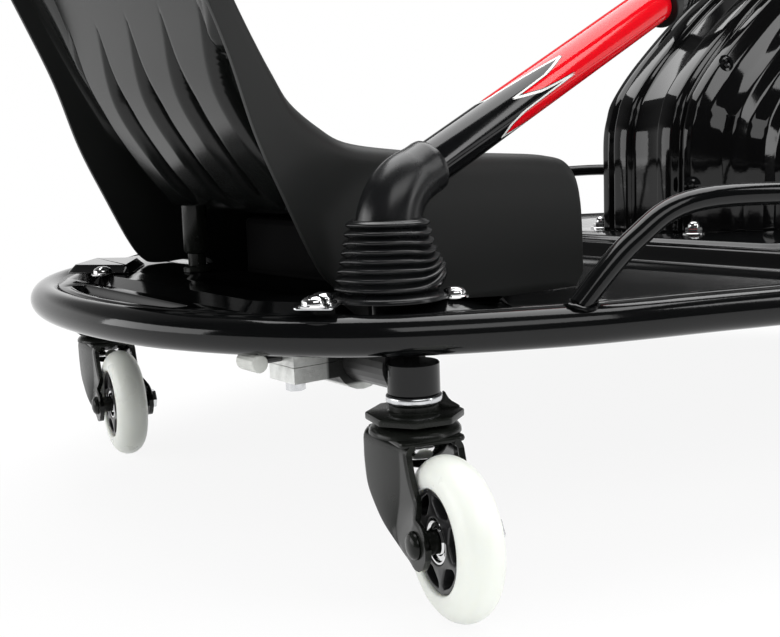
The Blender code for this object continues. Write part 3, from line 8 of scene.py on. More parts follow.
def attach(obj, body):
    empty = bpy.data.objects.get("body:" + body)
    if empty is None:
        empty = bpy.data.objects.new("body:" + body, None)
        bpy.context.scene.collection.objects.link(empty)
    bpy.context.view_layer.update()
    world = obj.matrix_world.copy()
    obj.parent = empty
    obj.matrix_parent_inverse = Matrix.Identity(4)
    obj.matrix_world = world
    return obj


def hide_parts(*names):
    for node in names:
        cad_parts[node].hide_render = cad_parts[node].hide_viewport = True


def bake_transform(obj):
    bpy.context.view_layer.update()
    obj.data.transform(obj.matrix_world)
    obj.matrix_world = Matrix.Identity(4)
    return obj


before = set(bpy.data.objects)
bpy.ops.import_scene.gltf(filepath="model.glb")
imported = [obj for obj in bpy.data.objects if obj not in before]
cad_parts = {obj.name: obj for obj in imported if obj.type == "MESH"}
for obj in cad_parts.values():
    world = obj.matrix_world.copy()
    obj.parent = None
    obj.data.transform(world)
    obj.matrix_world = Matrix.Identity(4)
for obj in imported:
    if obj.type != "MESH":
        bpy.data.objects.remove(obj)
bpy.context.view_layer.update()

# Perimeter tube: one round steel tube bent to the outline of the kart and welded into
# a loop. It is powder coated in high-gloss black, and everything else hangs on it.
KING_X = -0.363
RING_Z = 0.1405
RING_R = 0.011


def mm(rows):
    """A table that is given in millimetres, in metres."""
    return [mm(row) if isinstance(row[0], tuple) else tuple(n / 1000 for n in row) for row in rows]


HALF_PLAN = mm([(-99.2, 0), (-83.7, 105), (-29.2, 196.5), (58.5, 253.6), (154.3, 286.7), (260, 318),
                (370, 328), (500, 314), (630, 268), (745, 185), (825, 85), (850, 0)])


def between(a, b, c, d, t):
    """A place from b to c on the smooth curve through four points, by the Catmull-Rom rule."""
    return 0.5 * (2 * b + (c - a) * t + (2 * a - 5 * b + 4 * c - d) * t * t
                  + (3 * b - a - 3 * c + d) * t * t * t)


def smooth_run(points, steps, closed=False):
    """A smooth curve through points."""
    pts = [Vector(p) for p in points]
    count = len(pts)
    made = []
    for k in range(count if closed else count - 1):
        near = [(k + j - 1) % count if closed else min(max(k + j - 1, 0), count - 1) for j in range(4)]
        made += [between(*(pts[j] for j in near), i / steps) for i in range(steps)]
    return made if closed else made + [pts[-1]]


def sweep(shape, path, radii, sides=32, closed=False):
    """Carry a circle along a path by extruding it from point to point."""
    count = len(path)
    points = [Vector(p) for p in path]
    ways = []
    for k in range(count):
        before = points[k - 1] if closed or k else points[0]
        after = points[(k + 1) % count] if closed or k < count - 1 else points[k]
        ways.append((after - before).normalized())
    turn = ways[0].to_track_quat("Z", "Y")
    ring = bmesh.ops.create_circle(shape, segments=sides, radius=1.0)["verts"]
    edges = list({e for v in ring for e in v.link_edges})
    first = edges
    place = Matrix.LocRotScale(points[0], turn, Vector((radii[0],) * 3))
    bmesh.ops.transform(shape, matrix=place, verts=ring)
    for k in range(1, count):
        turn = ways[k - 1].rotation_difference(ways[k]) @ turn
        then = Matrix.LocRotScale(points[k], turn, Vector((radii[k],) * 3))
        made = bmesh.ops.extrude_edge_only(shape, edges=edges)["geom"]
        ring = [g for g in made if isinstance(g, bmesh.types.BMVert)]
        held = set(ring)
        edges = [g for g in made if isinstance(g, bmesh.types.BMEdge) and set(g.verts) <= held]
        bmesh.ops.transform(shape, matrix=then @ place.inverted(), verts=ring)
        place = then
    if closed:
        bmesh.ops.bridge_loops(shape, edges=first + edges)
    else:
        bmesh.ops.holes_fill(shape, edges=first)
        bmesh.ops.holes_fill(shape, edges=edges)
    return shape


def feed(tree, socket, value):
    """Give an input its value: another node's output is linked, and None leaves it alone."""
    if isinstance(value, bpy.types.NodeSocket):
        tree.links.new(value, socket)
    elif value is not None:
        socket.default_value = value


def node(tree, kind, *given, **settings):
    """A shader node with its settings, and its inputs given in order or by name."""
    made = tree.nodes.new("ShaderNode" + kind)
    for key, value in settings.items():
        if key in made.inputs:
            feed(tree, made.inputs[key], value)
        else:
            setattr(made, key, value)
    for socket, value in zip(made.inputs, given):
        feed(tree, socket, value)
    return made


def worked(tree, operation, *values):
    """The result of one step of arithmetic."""
    return node(tree, "Math", *values, operation=operation).outputs[0]


def ranged(tree, value, low, high, to_low=0.0, to_high=1.0, kind="LINEAR"):
    """A value carried over from one range to another, and held at its ends."""
    return node(tree, "MapRange", value, low, high, to_low, to_high, interpolation_type=kind).outputs[0]


def mixed(tree, share, first, second):
    """A colour between two others."""
    made = node(tree, "Mix", share, data_type="RGBA")
    feed(tree, made.inputs[6], first)
    feed(tree, made.inputs[7], second)
    return made.outputs[2]


def grey_stops(ramp, rows):
    """Fill a colour ramp with greys. Its first and last stop are there already."""
    stops = ramp.color_ramp.elements
    for place, level in rows:
        stop = stops[0] if place == 0.0 else stops[-1] if place == 1.0 else stops.new(place)
        stop.color = (level, level, level, 1)


def object_place(tree):
    """Where on the piece a shader stands."""
    return node(tree, "TexCoord").outputs["Object"]


def breakup_group():
    """Unevenness of a real finish: soft blotches in colour and gloss, and a fine grain in height."""
    group = bpy.data.node_groups.new("finish_breakup", "ShaderNodeTree")
    for label in ("Colour", "Second Colour"):
        group.interface.new_socket(label, in_out="INPUT", socket_type="NodeSocketColor")
    for label in ("Blotch Scale", "Roughness", "Roughness Spread", "Grain Scale", "Blotch Height"):
        group.interface.new_socket(label, in_out="INPUT", socket_type="NodeSocketFloat")
    for label, kind in (("Colour", "Color"), ("Roughness", "Float"), ("Height", "Float")):
        group.interface.new_socket(label, in_out="OUTPUT", socket_type="NodeSocket" + kind)
    given = group.nodes.new("NodeGroupInput").outputs
    out = group.nodes.new("NodeGroupOutput").inputs
    where = object_place(group)
    blotch = node(group, "TexNoise", Vector=where, Scale=given["Blotch Scale"], Detail=4.0, Roughness=0.55)
    grain = node(group, "TexNoise", Vector=where, Scale=given["Grain Scale"], Detail=2.0, Roughness=0.6)
    spread = ranged(group, blotch.outputs["Fac"], 0.3, 0.7)
    centred = worked(group, "SUBTRACT", spread, 0.5)
    feed(group, out["Colour"], mixed(group, spread, given["Colour"], given["Second Colour"]))
    feed(group, out["Roughness"], worked(group, "MULTIPLY_ADD", centred, given["Roughness Spread"],
                                         given["Roughness"]))
    feed(group, out["Height"], worked(group, "MULTIPLY_ADD", blotch.outputs["Fac"], given["Blotch Height"],
                                      grain.outputs["Fac"]))
    return group


BREAKUP = breakup_group()


def finish(name, colour, second, rough, spread, blotch, grain, bump=0.03, wave=0.0, distance=0.0002,
           metallic=0.0, specular=0.5):
    """A material on the Principled shader, with its unevenness from the shared group."""
    made = bpy.data.materials.new(name)
    made.use_nodes = True
    tree = made.node_tree
    part = tree.nodes.new("ShaderNodeGroup")
    part.node_tree = BREAKUP
    for socket, value in zip(part.inputs, ((*colour, 1), (*second, 1), blotch, rough, spread, grain, wave)):
        socket.default_value = value
    relief = node(tree, "Bump", Strength=bump, Distance=distance, Height=part.outputs["Height"])
    for label, value in (("Base Color", part.outputs["Colour"]), ("Roughness", part.outputs["Roughness"]),
                         ("Normal", relief.outputs["Normal"]), ("Metallic", metallic),
                         ("Specular IOR Level", specular)):
        feed(tree, tree.nodes["Principled BSDF"].inputs[label], value)
    return made


def placed(name, data):
    """A new object in the scene."""
    made = bpy.data.objects.new(name, data)
    bpy.context.scene.collection.objects.link(made)
    return made


def piece(name, shape, look, body, *nodes, slot, sharp=40):
    """Put a mesh that was laid out from the kingpin line into the scene, on the body it moves with."""
    bmesh.ops.recalc_face_normals(shape, faces=shape.faces)
    mesh = bpy.data.meshes.new(name)
    shape.to_mesh(mesh)
    shape.free()
    mesh.transform(Matrix.Translation((KING_X, 0, 0)))
    mesh.shade_smooth()
    mesh.set_sharp_from_angle(angle=radians(sharp))
    mesh.materials.append(look)
    made = placed(name, mesh)
    if body:
        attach(made, body)
    if nodes:
        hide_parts(*nodes)
    return made


gloss_paint = finish("gloss_black_powder_coat", (0.0022, 0.0024, 0.0026), (0.0040, 0.0042, 0.0044), 0.10,
                     0.04, blotch=9, grain=420, bump=0.05, wave=0.6, distance=0.0004, specular=0.34)
ring_line = smooth_run(HALF_PLAN + [(x, -y) for x, y in reversed(HALF_PLAN[1:-1])], 9, True)
ring_shape = sweep(bmesh.new(), [(p.x, p.y, RING_Z) for p in ring_line], [RING_R] * len(ring_line), 36, True)
piece("outline_tube", ring_shape, gloss_paint, "frame", "perimeter_tube", slot="gloss_black_paint")

# Deck: one steel sheet pressed with a raised tunnel over the shaft, a sunk tray for the
# feet and a raised plinth for the hood, then welded inside the tube and coated with it.
RIM_Z = 0.150
SHEET = 0.0025
WELL = (0.750, 0.0815)


def inside_line(inset):
    """The outline of the kart moved inward in plan."""
    count = len(ring_line)
    made = []
    for k, p in enumerate(ring_line):
        along = (ring_line[(k + 1) % count] - ring_line[k - 1]).normalized()
        made.append(Vector((p.x + along.y * inset, p.y - along.x * inset)))
    return made


def half_width(x, inset):
    """Half the width of the kart at a place along it, inside its outline."""
    side = sorted((p.x, p.y) for p in inside_line(inset) if p.y >= 0)
    for a, b in zip(side, side[1:]):
        if a[0] <= x <= b[0]:
            return a[1] + (b[1] - a[1]) * (x - a[0]) / max(b[0] - a[0], 1e-9)
    return 0.0


def corner_run(before, corner, after, reach, steps):
    """Points that round off a corner on its way from one point to another."""
    p = Vector(corner)
    back, ahead = Vector(before) - p, Vector(after) - p
    reach = min(reach, back.length * 0.45, ahead.length * 0.45)
    start, end = p + back.normalized() * reach, p + ahead.normalized() * reach
    shares = [i / steps for i in range(steps + 1)]
    return [start * (1 - t) ** 2 + p * 2 * t * (1 - t) + end * t * t for t in shares]


def rounded(corners, radius, steps=6):
    """A closed outline with its corners rounded."""
    made = []
    for k, corner in enumerate(corners):
        made += corner_run(corners[k - 1], corner, corners[(k + 1) % len(corners)], radius, steps)
    return made


def field(x_low, x_high, inset, widest=1.0, radius=0.016):
    """The outline of a pressing that crosses the deck between two places along it."""
    xs = [x_low + (x_high - x_low) * k / 10 for k in range(11)]
    right = [(x, -min(half_width(x, inset), widest)) for x in xs]
    left = [(x, -y) for x, y in reversed(right)]
    return rounded(right + left, radius, 5)


def loop(shape, outline, z):
    """A closed wire on an outline."""
    verts = [shape.verts.new((p[0], p[1], z)) for p in outline]
    return [shape.edges.new((verts[k - 1], verts[k])) for k in range(len(verts))]


def press(shape, edges, rise, run, shares=None, hole=None):
    """Draw the sheet inside a wire up or down over a wall, leaving a flat or a hole in it."""
    face = bmesh.ops.contextual_create(shape, geom=edges)["faces"][0]
    face.normal_update()
    lift = 1.0 if face.normal.z > 0 else -1.0
    if not shares:
        curve = [t * t * (3 - 2 * t) for t in (k / 8 for k in range(9))]
        shares = [(1 / 8, b - a) for a, b in zip(curve, curve[1:])]
    for across, up in shares:
        bmesh.ops.inset_region(shape, faces=[face], thickness=run * across, depth=rise * up * lift,
                               use_even_offset=False, use_boundary=True)
    if hole:
        z = face.verts[0].co.z
        rim = list(face.edges)
        bmesh.ops.delete(shape, geom=[face], context="FACES_ONLY")
        bmesh.ops.triangle_fill(shape, use_beauty=True, edges=rim + loop(shape, hole, z))
    return shape


def circle(x, y, radius, count=48, turn=0.0):
    """Points round a circle in plan."""
    angles = [turn + 2 * pi * k / count for k in range(count)]
    return [(x + radius * cos(a), y + radius * sin(a)) for a in angles]


def thicken(made, thickness, faces_out):
    """Give a skin the thickness of its sheet, on its inner side."""
    wall = made.modifiers.new("wall", "SOLIDIFY")
    wall.thickness = thickness
    wall.offset = -1.0 if faces_out else 1.0


deck_shape = bmesh.new()
tunnel = loop(deck_shape, field(-0.057, 0.052, 0.014), RIM_Z)
tray = loop(deck_shape, field(0.054, 0.367, 0.019), RIM_Z)
plinth = loop(deck_shape, field(0.380, 0.8245, 0.018, 0.175, 0.045), RIM_Z)
trough = loop(deck_shape, rounded(mm([(-85, 0), (-82.2, -45), (-74.5, -82), (-63.5, -82), (-63.5, 0),
                                      (-63.5, 82), (-74.5, 82), (-82.2, 45)]), 0.008), RIM_Z)
edge_line = inside_line(sqrt(RING_R ** 2 - (RIM_Z - SHEET - RING_Z) ** 2) + 0.0003)
rim_wire = loop(deck_shape, edge_line, RIM_Z)
bmesh.ops.triangle_fill(deck_shape, use_beauty=True, edges=rim_wire + tunnel + tray + plinth + trough)
press(deck_shape, tunnel, 0.005, 0.010, ((0.06, 0.02), (0.88, 0.96), (0.06, 0.02)))
SLOT = ((-0.0197, -0.1961), (0.0222, -0.1679))


def meets_slot(face):
    """Whether a face reaches into the slot in plan."""
    spans = [[v.co[k] for v in face.verts] for k in (0, 1)]
    return all(min(spans[k]) < SLOT[1][k] and max(spans[k]) > SLOT[0][k] for k in (0, 1))


for axis in (0, 1):
    for corner in SLOT:
        near = [f for f in deck_shape.faces if meets_slot(f)]
        cut = near + list({e for f in near for e in f.edges}) + list({v for f in near for v in f.verts})
        bmesh.ops.bisect_plane(deck_shape, geom=cut, dist=0.00001, plane_co=(corner[0], corner[1], 0),
                               plane_no=(1 - axis, axis, 0))
middles = {f: f.calc_center_median() for f in deck_shape.faces}
in_slot = [f for f, p in middles.items() if all(SLOT[0][k] < p[k] < SLOT[1][k] for k in (0, 1))]
bmesh.ops.delete(deck_shape, geom=in_slot, context="FACES")
press(deck_shape, tray, -0.013, 0.008)
press(deck_shape, plinth, 0.004, 0.006, hole=circle(WELL[0], 0.0, WELL[1]))
press(deck_shape, trough, -0.0062, 0.0045)
deck = piece("pressed_deck", deck_shape, gloss_paint, "frame", "deck_pan", slot="gloss_black_paint", sharp=50)
thicken(deck, SHEET, True)

# Side hoops: thinner steel tube bent to a low hand rail along each side, its two ends
# coped to the perimeter tube and welded there with a plain bead.
HOOP_R = 0.00635
HOOP_LINE = [(0.072, 0.1505), (0.10225, 0.1831), *((0.14075 + 0.0884167 * k, 0.2025) for k in range(7)),
             (0.70975, 0.1831), (0.740, 0.1505)]
for side, label in ((-1, "right"), (1, "left")):
    hoop_path = smooth_run([(x, side * half_width(x, 0.0), z) for x, z in HOOP_LINE], 8)
    hoop_shape = sweep(bmesh.new(), hoop_path, [HOOP_R] * len(hoop_path), 28)
    piece("hand_rail_" + label, hoop_shape, gloss_paint, "frame", "side_hoop_" + label,
          slot="gloss_black_paint")
    for end, x in (("rear", 0.0735), ("front", 0.7385)):
        y = side * half_width(x, 0.0)
        bead_path = []
        for k in range(28):
            a = 2 * pi * k / 28
            reach = HOOP_R + 0.0010
            place = Vector((x + reach * cos(a) * 1.25, y + reach * sin(a), 0))
            drop = (place.y - y) ** 2 / (2 * RING_R)
            bead_path.append((place.x, place.y, RING_Z + RING_R + 0.0002 - drop))
        bead_radii = [0.0013 + 0.00035 * sin(k * 2.4) for k in range(28)]
        bead = sweep(bmesh.new(), bead_path, bead_radii, 8, True)
        piece(f"hoop_weld_{label}_{end}", bead, gloss_paint, "frame", slot="gloss_black_paint")

# Seat: one moulded bucket with rolled sides that run down to the deck as skirts. The
# back is ribbed by five channels that run out to points, and the skin is a fine satin.
SEAT_STATIONS = mm([((213, 140), (213.6, 150), (205, 137.6)), ((212.5, 180), (212.5, 202), (194, 137.6)),
                    ((206, 198.5), (204, 221.5), (178, 137.6)), ((185, 203), (181, 228), (155, 137.6)),
                    ((148, 202), (142.1, 230.6), (125, 137.6)), ((105, 200), (100, 232.2), (92, 137.6)),
                    ((65, 199), (60, 235), (65, 138.6)), ((30, 199.5), (21.3, 240.2), (56.5, 155.8)),
                    ((8, 209), (2, 249.5), (14, 155.8)), ((-8.5, 226.5), (-17.3, 264.4), (2, 160)),
                    ((-21.5, 244), (-29, 282), (-9, 175)), ((-34.5, 265), (-40, 301), (-25, 208)),
                    ((-44.5, 289), (-50, 320), (-42, 246)), ((-53.5, 328), (-63, 346), (-57, 292)),
                    ((-69, 369), (-79, 380), (-76, 336)), ((-83, 408), (-95, 413), (-96, 379)),
                    ((-98, 440), (-108, 440), (-115, 419)), ((-108, 456), (-116, 456), (-128, 445)),
                    ((-120, 466), (-124, 462), (-134.8, 456))])
SEAT_ACROSS = [(0.1000, 0.0, 0.0), (0.1030, 0.22, 0.0), (0.1110, 0.74, 0.0), (0.1180, 0.97, 0.0),
               (0.1250, 1.0, 0.0), (0.1305, 1.0, 0.08), (0.1318, 1.0, 0.22), (0.1318, 1.0, 0.60),
               (0.1318, 1.0, 1.0)]
LAST_STATION = len(SEAT_STATIONS) - 1
BACK_HALF = 0.100
SKIRT_HALF = 0.1318
CHANNEL_PITCH = 0.048
CHANNEL_TOP = 13.0
CHANNEL_LOW = 7.3
CHANNEL_DEPTH = 0.0108
CHANNEL_WALL = 0.0040
BACK_MESH_SHARE = 0.74
SEAT_SHEET = 0.003


def spline_at(table, place):
    """A value between the rows of a table, on a smooth curve through them."""
    k = min(int(place), len(table) - 2)
    near = (Vector(table[min(max(k + j - 1, 0), len(table) - 1)]) for j in range(4))
    return between(*near, place - k)


def ease(t):
    """A share held from 0 to 1, and eased at both ends."""
    t = min(max(t, 0.0), 1.0)
    return t * t * (3 - 2 * t)


def channel_depth(station, y):
    """How far the back is pressed forward: channels that narrow to points upward."""
    pitches = abs(y) / CHANNEL_PITCH
    off = abs(pitches - round(pitches)) * CHANNEL_PITCH
    half = 0.0012 + 0.0110 * ease((CHANNEL_TOP - station) / 1.9)
    ends = ease((CHANNEL_TOP - station) / 0.9) * ease((station - CHANNEL_LOW) / 1.3)
    return CHANNEL_DEPTH * ease((half - off) / CHANNEL_WALL) * ends


def seat_point(station, across):
    """A point of the seat's inner face: across runs from the middle to the skirt's free edge."""
    c, f, e = (spline_at([row[j] for row in SEAT_STATIONS], station) for j in range(3))
    if across < 0.5:
        y = across * 2 * BACK_HALF
        middle = [row[0] for row in SEAT_STATIONS]
        after = spline_at(middle, min(station + 0.2, LAST_STATION))
        before = spline_at(middle, max(station - 0.2, 0.0))
        along = (after - before).normalized()
        push = channel_depth(station, y)
        return Vector((c.x + along.y * push, y, c.y - along.x * push))
    y, up, down = spline_at(SEAT_ACROSS, (across - 0.5) * 2 * (len(SEAT_ACROSS) - 1))
    push = channel_depth(station, BACK_HALF) * ease((BACK_HALF + 0.012 - y) / 0.012)
    place = c.lerp(f, up).lerp(e, min(max(down, 0.0), 1.0))
    return Vector((place.x + push * 0.8, min(y, SKIRT_HALF), place.y + push * 0.5))


seat_shape = bmesh.new()
bmesh.ops.create_grid(seat_shape, x_segments=190, y_segments=260, size=1.0)
for v in seat_shape.verts:
    across = abs(v.co.y)
    if across < BACK_MESH_SHARE:
        across = across * 0.5 / BACK_MESH_SHARE
    else:
        across = 0.5 + (across - BACK_MESH_SHARE) * 0.5 / (1 - BACK_MESH_SHARE)
    spot = seat_point((v.co.x + 1) / 2 * LAST_STATION, across)
    v.co = Vector((spot.x, spot.y if v.co.y > 0 else -spot.y, spot.z))
satin_seat = finish("satin_black_seat_moulding", (0.0052, 0.0060, 0.0056), (0.0080, 0.0088, 0.0084), 0.21,
                    0.05, blotch=7, grain=2600, bump=0.09, wave=0.15, distance=0.00012, specular=0.40)
tree = satin_seat.node_tree
off_middle = worked(tree, "ABSOLUTE", node(tree, "SeparateXYZ", object_place(tree)).outputs["Y"])
satin = ranged(tree, off_middle, 0.112, 0.122, 0.0, 0.26, "SMOOTHSTEP")
gloss_input = tree.nodes["Principled BSDF"].inputs["Roughness"]
feed(tree, gloss_input, worked(tree, "ADD", gloss_input.links[0].from_socket, satin))
seat = piece("bucket_seat", seat_shape, satin_seat, "frame", "seat_shell", slot="satin_black_moulding",
             sharp=60)
seat_up = sum(f.normal.z * f.area for f in seat.data.polygons if f.center.z < 0.21 and abs(f.center.y) < 0.05)
thicken(seat, SEAT_SHEET, seat_up > 0)
soft_edge = seat.modifiers.new("edge", "BEVEL")
soft_edge.width = 0.0009
soft_edge.segments = 2
soft_edge.limit_method = "ANGLE"
soft_edge.angle_limit = radians(60)

# Seat post: a short stepped steel post, turned and coated satin black. It stands on the
# tunnel, and its upper end holds the seat's back.
def turned(shape, profile, steps, place=Matrix.Identity(4)):
    """Spin a profile of (radius, height) points round Z into a closed skin, then put it in place."""
    verts = [shape.verts.new((r, 0, z)) for r, z in profile]
    edges = [shape.edges.new(pair) for pair in zip(verts, verts[1:])]
    bmesh.ops.spin(shape, geom=verts + edges, cent=(0, 0, 0), axis=(0, 0, 1), angle=2 * pi, steps=steps,
                   use_merge=True)
    skin = [v for v in shape.verts if not v.tag]
    bmesh.ops.remove_doubles(shape, verts=skin, dist=0.000004)
    skin = [v for v in shape.verts if not v.tag]
    bmesh.ops.transform(shape, matrix=place, verts=skin)
    for v in skin:
        v.tag = True
    return shape


def moved(shape, place):
    """Turn and shift all of a shape, and mark it so that turned() leaves it alone."""
    bmesh.ops.transform(shape, matrix=place, verts=shape.verts)
    for v in shape.verts:
        v.tag = True
    return shape


def soften(shape, width, segments, angle):
    """Round the edges that are sharper than an angle."""
    shape.normal_update()
    edges = [e for e in shape.edges if len(e.link_faces) == 2 and e.calc_face_angle() > radians(angle)]
    bmesh.ops.bevel(shape, geom=edges, offset=width, segments=segments, profile=0.5, affect="EDGES",
                    material=-1, clamp_overlap=True)
    return shape


coated_steel = finish("satin_black_coated_steel", (0.0050, 0.0058, 0.0048), (0.0080, 0.0090, 0.0076), 0.24,
                      0.08, blotch=60, grain=2200, bump=0.10, distance=0.00012, specular=0.24)
post_shape = turned(bmesh.new(), mm([(0, 202.2), (8.8, 202.2), (8.8, 171.5), (7.6, 169), (6.2, 168.2),
                                     (6.2, 160), (9.2, 159.2), (9.8, 158.4), (9.8, 155.6), (0, 155.6)]), 40,
                    Matrix.Translation((0.005, 0.044, 0)))
piece("seat_back_post", post_shape, coated_steel, "frame", "seat_post", slot="black_coated_steel", sharp=30)

# Hood over the drive: a tall glossy moulding in arched steps, screwed to the plinth. Its
# ribs run up over the top, and a round hole lets the steering column through.
HOOD_FOOT = 0.1543
HOOD_HEART = 0.700
HOOD_SHEET = 0.0022
HOOD_ARCH = mm([(-270, 154.3), (-270, 196), (-270, 238), (-265.5, 259), (-256, 278), (-221.4, 312.4),
                (-155, 363), (-90, 399), (-38, 406), (15, 391), (65, 342), (98, 265), (105, 210),
                (108, 154.3)])
HOOD_STEPS = [(0.0000, 0.976), (0.0135, 0.976), (0.0165, 1.000), (0.0330, 1.000), (0.0365, 0.972),
              (0.0425, 0.985), (0.0510, 0.980), (0.0565, 0.932), (0.0650, 0.900), (0.0740, 0.880),
              (0.0785, 0.832), (0.0885, 0.800), (0.0925, 0.745), (0.1030, 0.700), (0.1086, 0.645),
              (0.1090, 0.600), (0.1090, 0.300), (0.1090, 0.0)]


def eased_run(points, reach):
    """An open line with its corners rounded."""
    made = [Vector(points[0])]
    for before, corner, after in zip(points, points[1:], points[2:]):
        made += corner_run(before, corner, after, reach, 4)
    return made + [Vector(points[-1])]


hood_steps = [(p.x, p.y / 0.2) for p in eased_run([(y, k * 0.2) for y, k in HOOD_STEPS], 0.0022)]
hood_arch = smooth_run(HOOD_ARCH, 9)
hood_shape = bmesh.new()
bmesh.ops.create_grid(hood_shape, x_segments=len(hood_arch) - 1, y_segments=2 * (len(hood_steps) - 1),
                      size=1.0)
for v in hood_shape.verts:
    i = round((v.co.x + 1) / 2 * (len(hood_arch) - 1))
    j = round(abs(v.co.y) * (len(hood_steps) - 1))
    y, k = hood_steps[j]
    v.co = Vector((HOOD_HEART + hood_arch[i].x * k, y if v.co.y > 0 else -y,
                   HOOD_FOOT + (hood_arch[i].y - HOOD_FOOT) * k))
bmesh.ops.remove_doubles(hood_shape, verts=hood_shape.verts, dist=0.00002)
COLUMN_TILT = radians(42)
COLUMN_WAY = Vector((-sin(COLUMN_TILT), 0, cos(COLUMN_TILT)))
JOINT = Vector((0.750, 0, 0.270))
HOLE_R = 0.0215


def off_column(p):
    """How far a point lies from the column's line, square to it."""
    away = p - JOINT
    return away - COLUMN_WAY * away.dot(COLUMN_WAY)


doomed = [f for f in hood_shape.faces if f.calc_center_median().z > 0.33
          and off_column(f.calc_center_median()).length < HOLE_R]
bmesh.ops.delete(hood_shape, geom=doomed, context="FACES")
for v in hood_shape.verts:
    if v.is_boundary and v.co.z > 0.30:
        away = off_column(v.co)
        v.co += away.normalized() * (HOLE_R - away.length)
hood_gloss = finish("gloss_black_hood_moulding", (0.0022, 0.0022, 0.0024), (0.0034, 0.0034, 0.0036), 0.06,
                    0.03, blotch=6, grain=260, wave=1.0, distance=0.0005, specular=0.36)
hood = piece("drive_cover", hood_shape, hood_gloss, "frame", "drive_hood", slot="gloss_black_moulding",
             sharp=60)
hood_up = sum(f.normal.z * f.area for f in hood.data.polygons if f.center.z > 0.35)
thicken(hood, HOOD_SHEET, hood_up > 0)

# Hood screws and plinth nuts: pan-head screws sunk in small bosses on the hood's flank,
# and bright acorn nuts on washers where the hood's feet are bolted to the plinth.
chrome = finish("bright_chrome", (0.80, 0.80, 0.80), (0.70, 0.70, 0.71), 0.09, 0.05, blotch=120, grain=2500,
                distance=0.0001, metallic=1.0)
zinc = finish("bright_zinc_plate", (0.72, 0.73, 0.74), (0.60, 0.61, 0.63), 0.20, 0.10, blotch=160, grain=2600,
              bump=0.08, distance=0.0001, metallic=1.0)


def acorn_nut(shape, place):
    """A domed cap nut on its plain washer."""
    turned(shape, mm([(0, 0), (9.8, 0), (9.8, 0.9), (9.3, 1.3), (0, 1.3)]), 36, place)
    turned(shape, mm([(0, 1.2), (6.6, 1.2), (7, 1.8), (7, 5), (6.4, 5.8), (5.2, 6.2), (5, 7.6), (4.2, 9.6),
                      (2.6, 10.9), (1, 11.4), (0, 11.4)]), 6, place)
    turned(shape, mm([(5.2, 6), (5.1, 7.8), (4.3, 9.7), (2.7, 11), (1.1, 11.5), (0, 11.6)]), 24, place)


PLINTH_TOP = 0.1541
for k, (x, y) in enumerate(((0.4290, -0.0585), (0.8140, -0.0440), (0.4453, 0.0632), (0.8140, 0.0440))):
    nut_shape = bmesh.new()
    acorn_nut(nut_shape, Matrix.Translation((x, y, PLINTH_TOP)))
    piece(f"cap_nut_{k + 1}", nut_shape, chrome, "frame", slot="chrome_plate", sharp=35)

for k, (spot, way) in enumerate((((0.4797, -0.0529, 0.3006), (-0.26, -0.92, 0.30)),
                                 ((0.4361, -0.0509, 0.1960), (-0.65, -0.76, 0.0)))):
    seat_on = Matrix.Translation(spot) @ Vector(way).to_track_quat("Z", "Y").to_matrix().to_4x4()
    screw = turned(bmesh.new(), mm([(0, 1.6), (1.3, 1.6), (1.5, 3.4), (3.6, 3.1), (5, 2), (5.2, 1),
                                    (7.4, 0.6), (7.6, 0), (0, -0.4)]), 36, seat_on)
    piece(f"hood_screw_{k + 1}", screw, gloss_paint, "frame", slot="gloss_black_paint", sharp=30)

# Rear fittings: a folded steel channel on the tunnel at the left, and bright dome bolts
# that pass through the deck to the two clamps and hold the boot's skirt.
def raised(shape, faces, height):
    """Draw flat faces up into a solid, and keep them as its underside."""
    made = bmesh.ops.extrude_face_region(shape, geom=faces, use_keep_orig=True)["geom"]
    tops = [g for g in made if isinstance(g, bmesh.types.BMVert)]
    bmesh.ops.translate(shape, vec=(0, 0, height), verts=tops)
    bmesh.ops.recalc_face_normals(shape, faces=shape.faces)
    return shape


def plate(shape, outline, low, high, width):
    """A flat plate on an outline, its edges eased."""
    wire = loop(shape, outline, low)
    face = bmesh.ops.contextual_create(shape, geom=wire)["faces"][0]
    return soften(raised(shape, [face], high - low), width, 2, 40)


def dome_bolt(shape, place, radius, height):
    """A carriage bolt's round head."""
    profile = [(0, height)]
    for k in range(1, 8):
        a = radians(90 - 90 * k / 7)
        profile.append((radius * cos(a), height * (0.25 + 0.75 * sin(a))))
    turned(shape, profile + [(radius, 0), (0, 0)], 40, place)


PAD_LOW = 0.1552
channel_shape = plate(bmesh.new(), rounded(mm([(-64, 118), (-33, 72), (4, 130), (-25, 164)]), 0.008, 5),
                      PAD_LOW, PAD_LOW + 0.0010, 0.0002)
channel_top = max((f for f in channel_shape.faces if f.calc_center_median().z > PAD_LOW + 0.0009),
                  key=lambda f: f.calc_area())
bmesh.ops.inset_region(channel_shape, faces=[channel_top], thickness=0.0052, depth=0.0050,
                       use_even_offset=False)
piece("folded_channel", channel_shape, gloss_paint, "frame", slot="gloss_black_paint")
clip_shape = plate(bmesh.new(), rounded(mm([(-54, -179), (-40, -196), (-24, -180), (-38, -164)]), 0.003, 4),
                   PAD_LOW, PAD_LOW + 0.0012, 0.0004)
piece("bolt_clip", clip_shape, zinc, "frame", slot="zinc_plate")
for k, (x, y, lift) in enumerate(((0.0322, -0.2060, 0.0), (-0.0340, -0.1765, 0.0014),
                                  (-0.0440, -0.1845, 0.0014), (-0.0490, 0.0850, 0.0))):
    bolt_shape = bmesh.new()
    base = Matrix.Translation((x, y, PAD_LOW + lift))
    turned(bolt_shape, mm([(0, 0), (8.2, 0), (8.2, 0.9), (7.8, 1.2), (0, 1.2)]), 36, base)
    dome_bolt(bolt_shape, base @ Matrix.Translation((0, 0, 0.0011)), 0.0066, 0.0050)
    piece(f"dome_bolt_{k + 1}", bolt_shape, chrome, "frame", slot="chrome_plate", sharp=30)

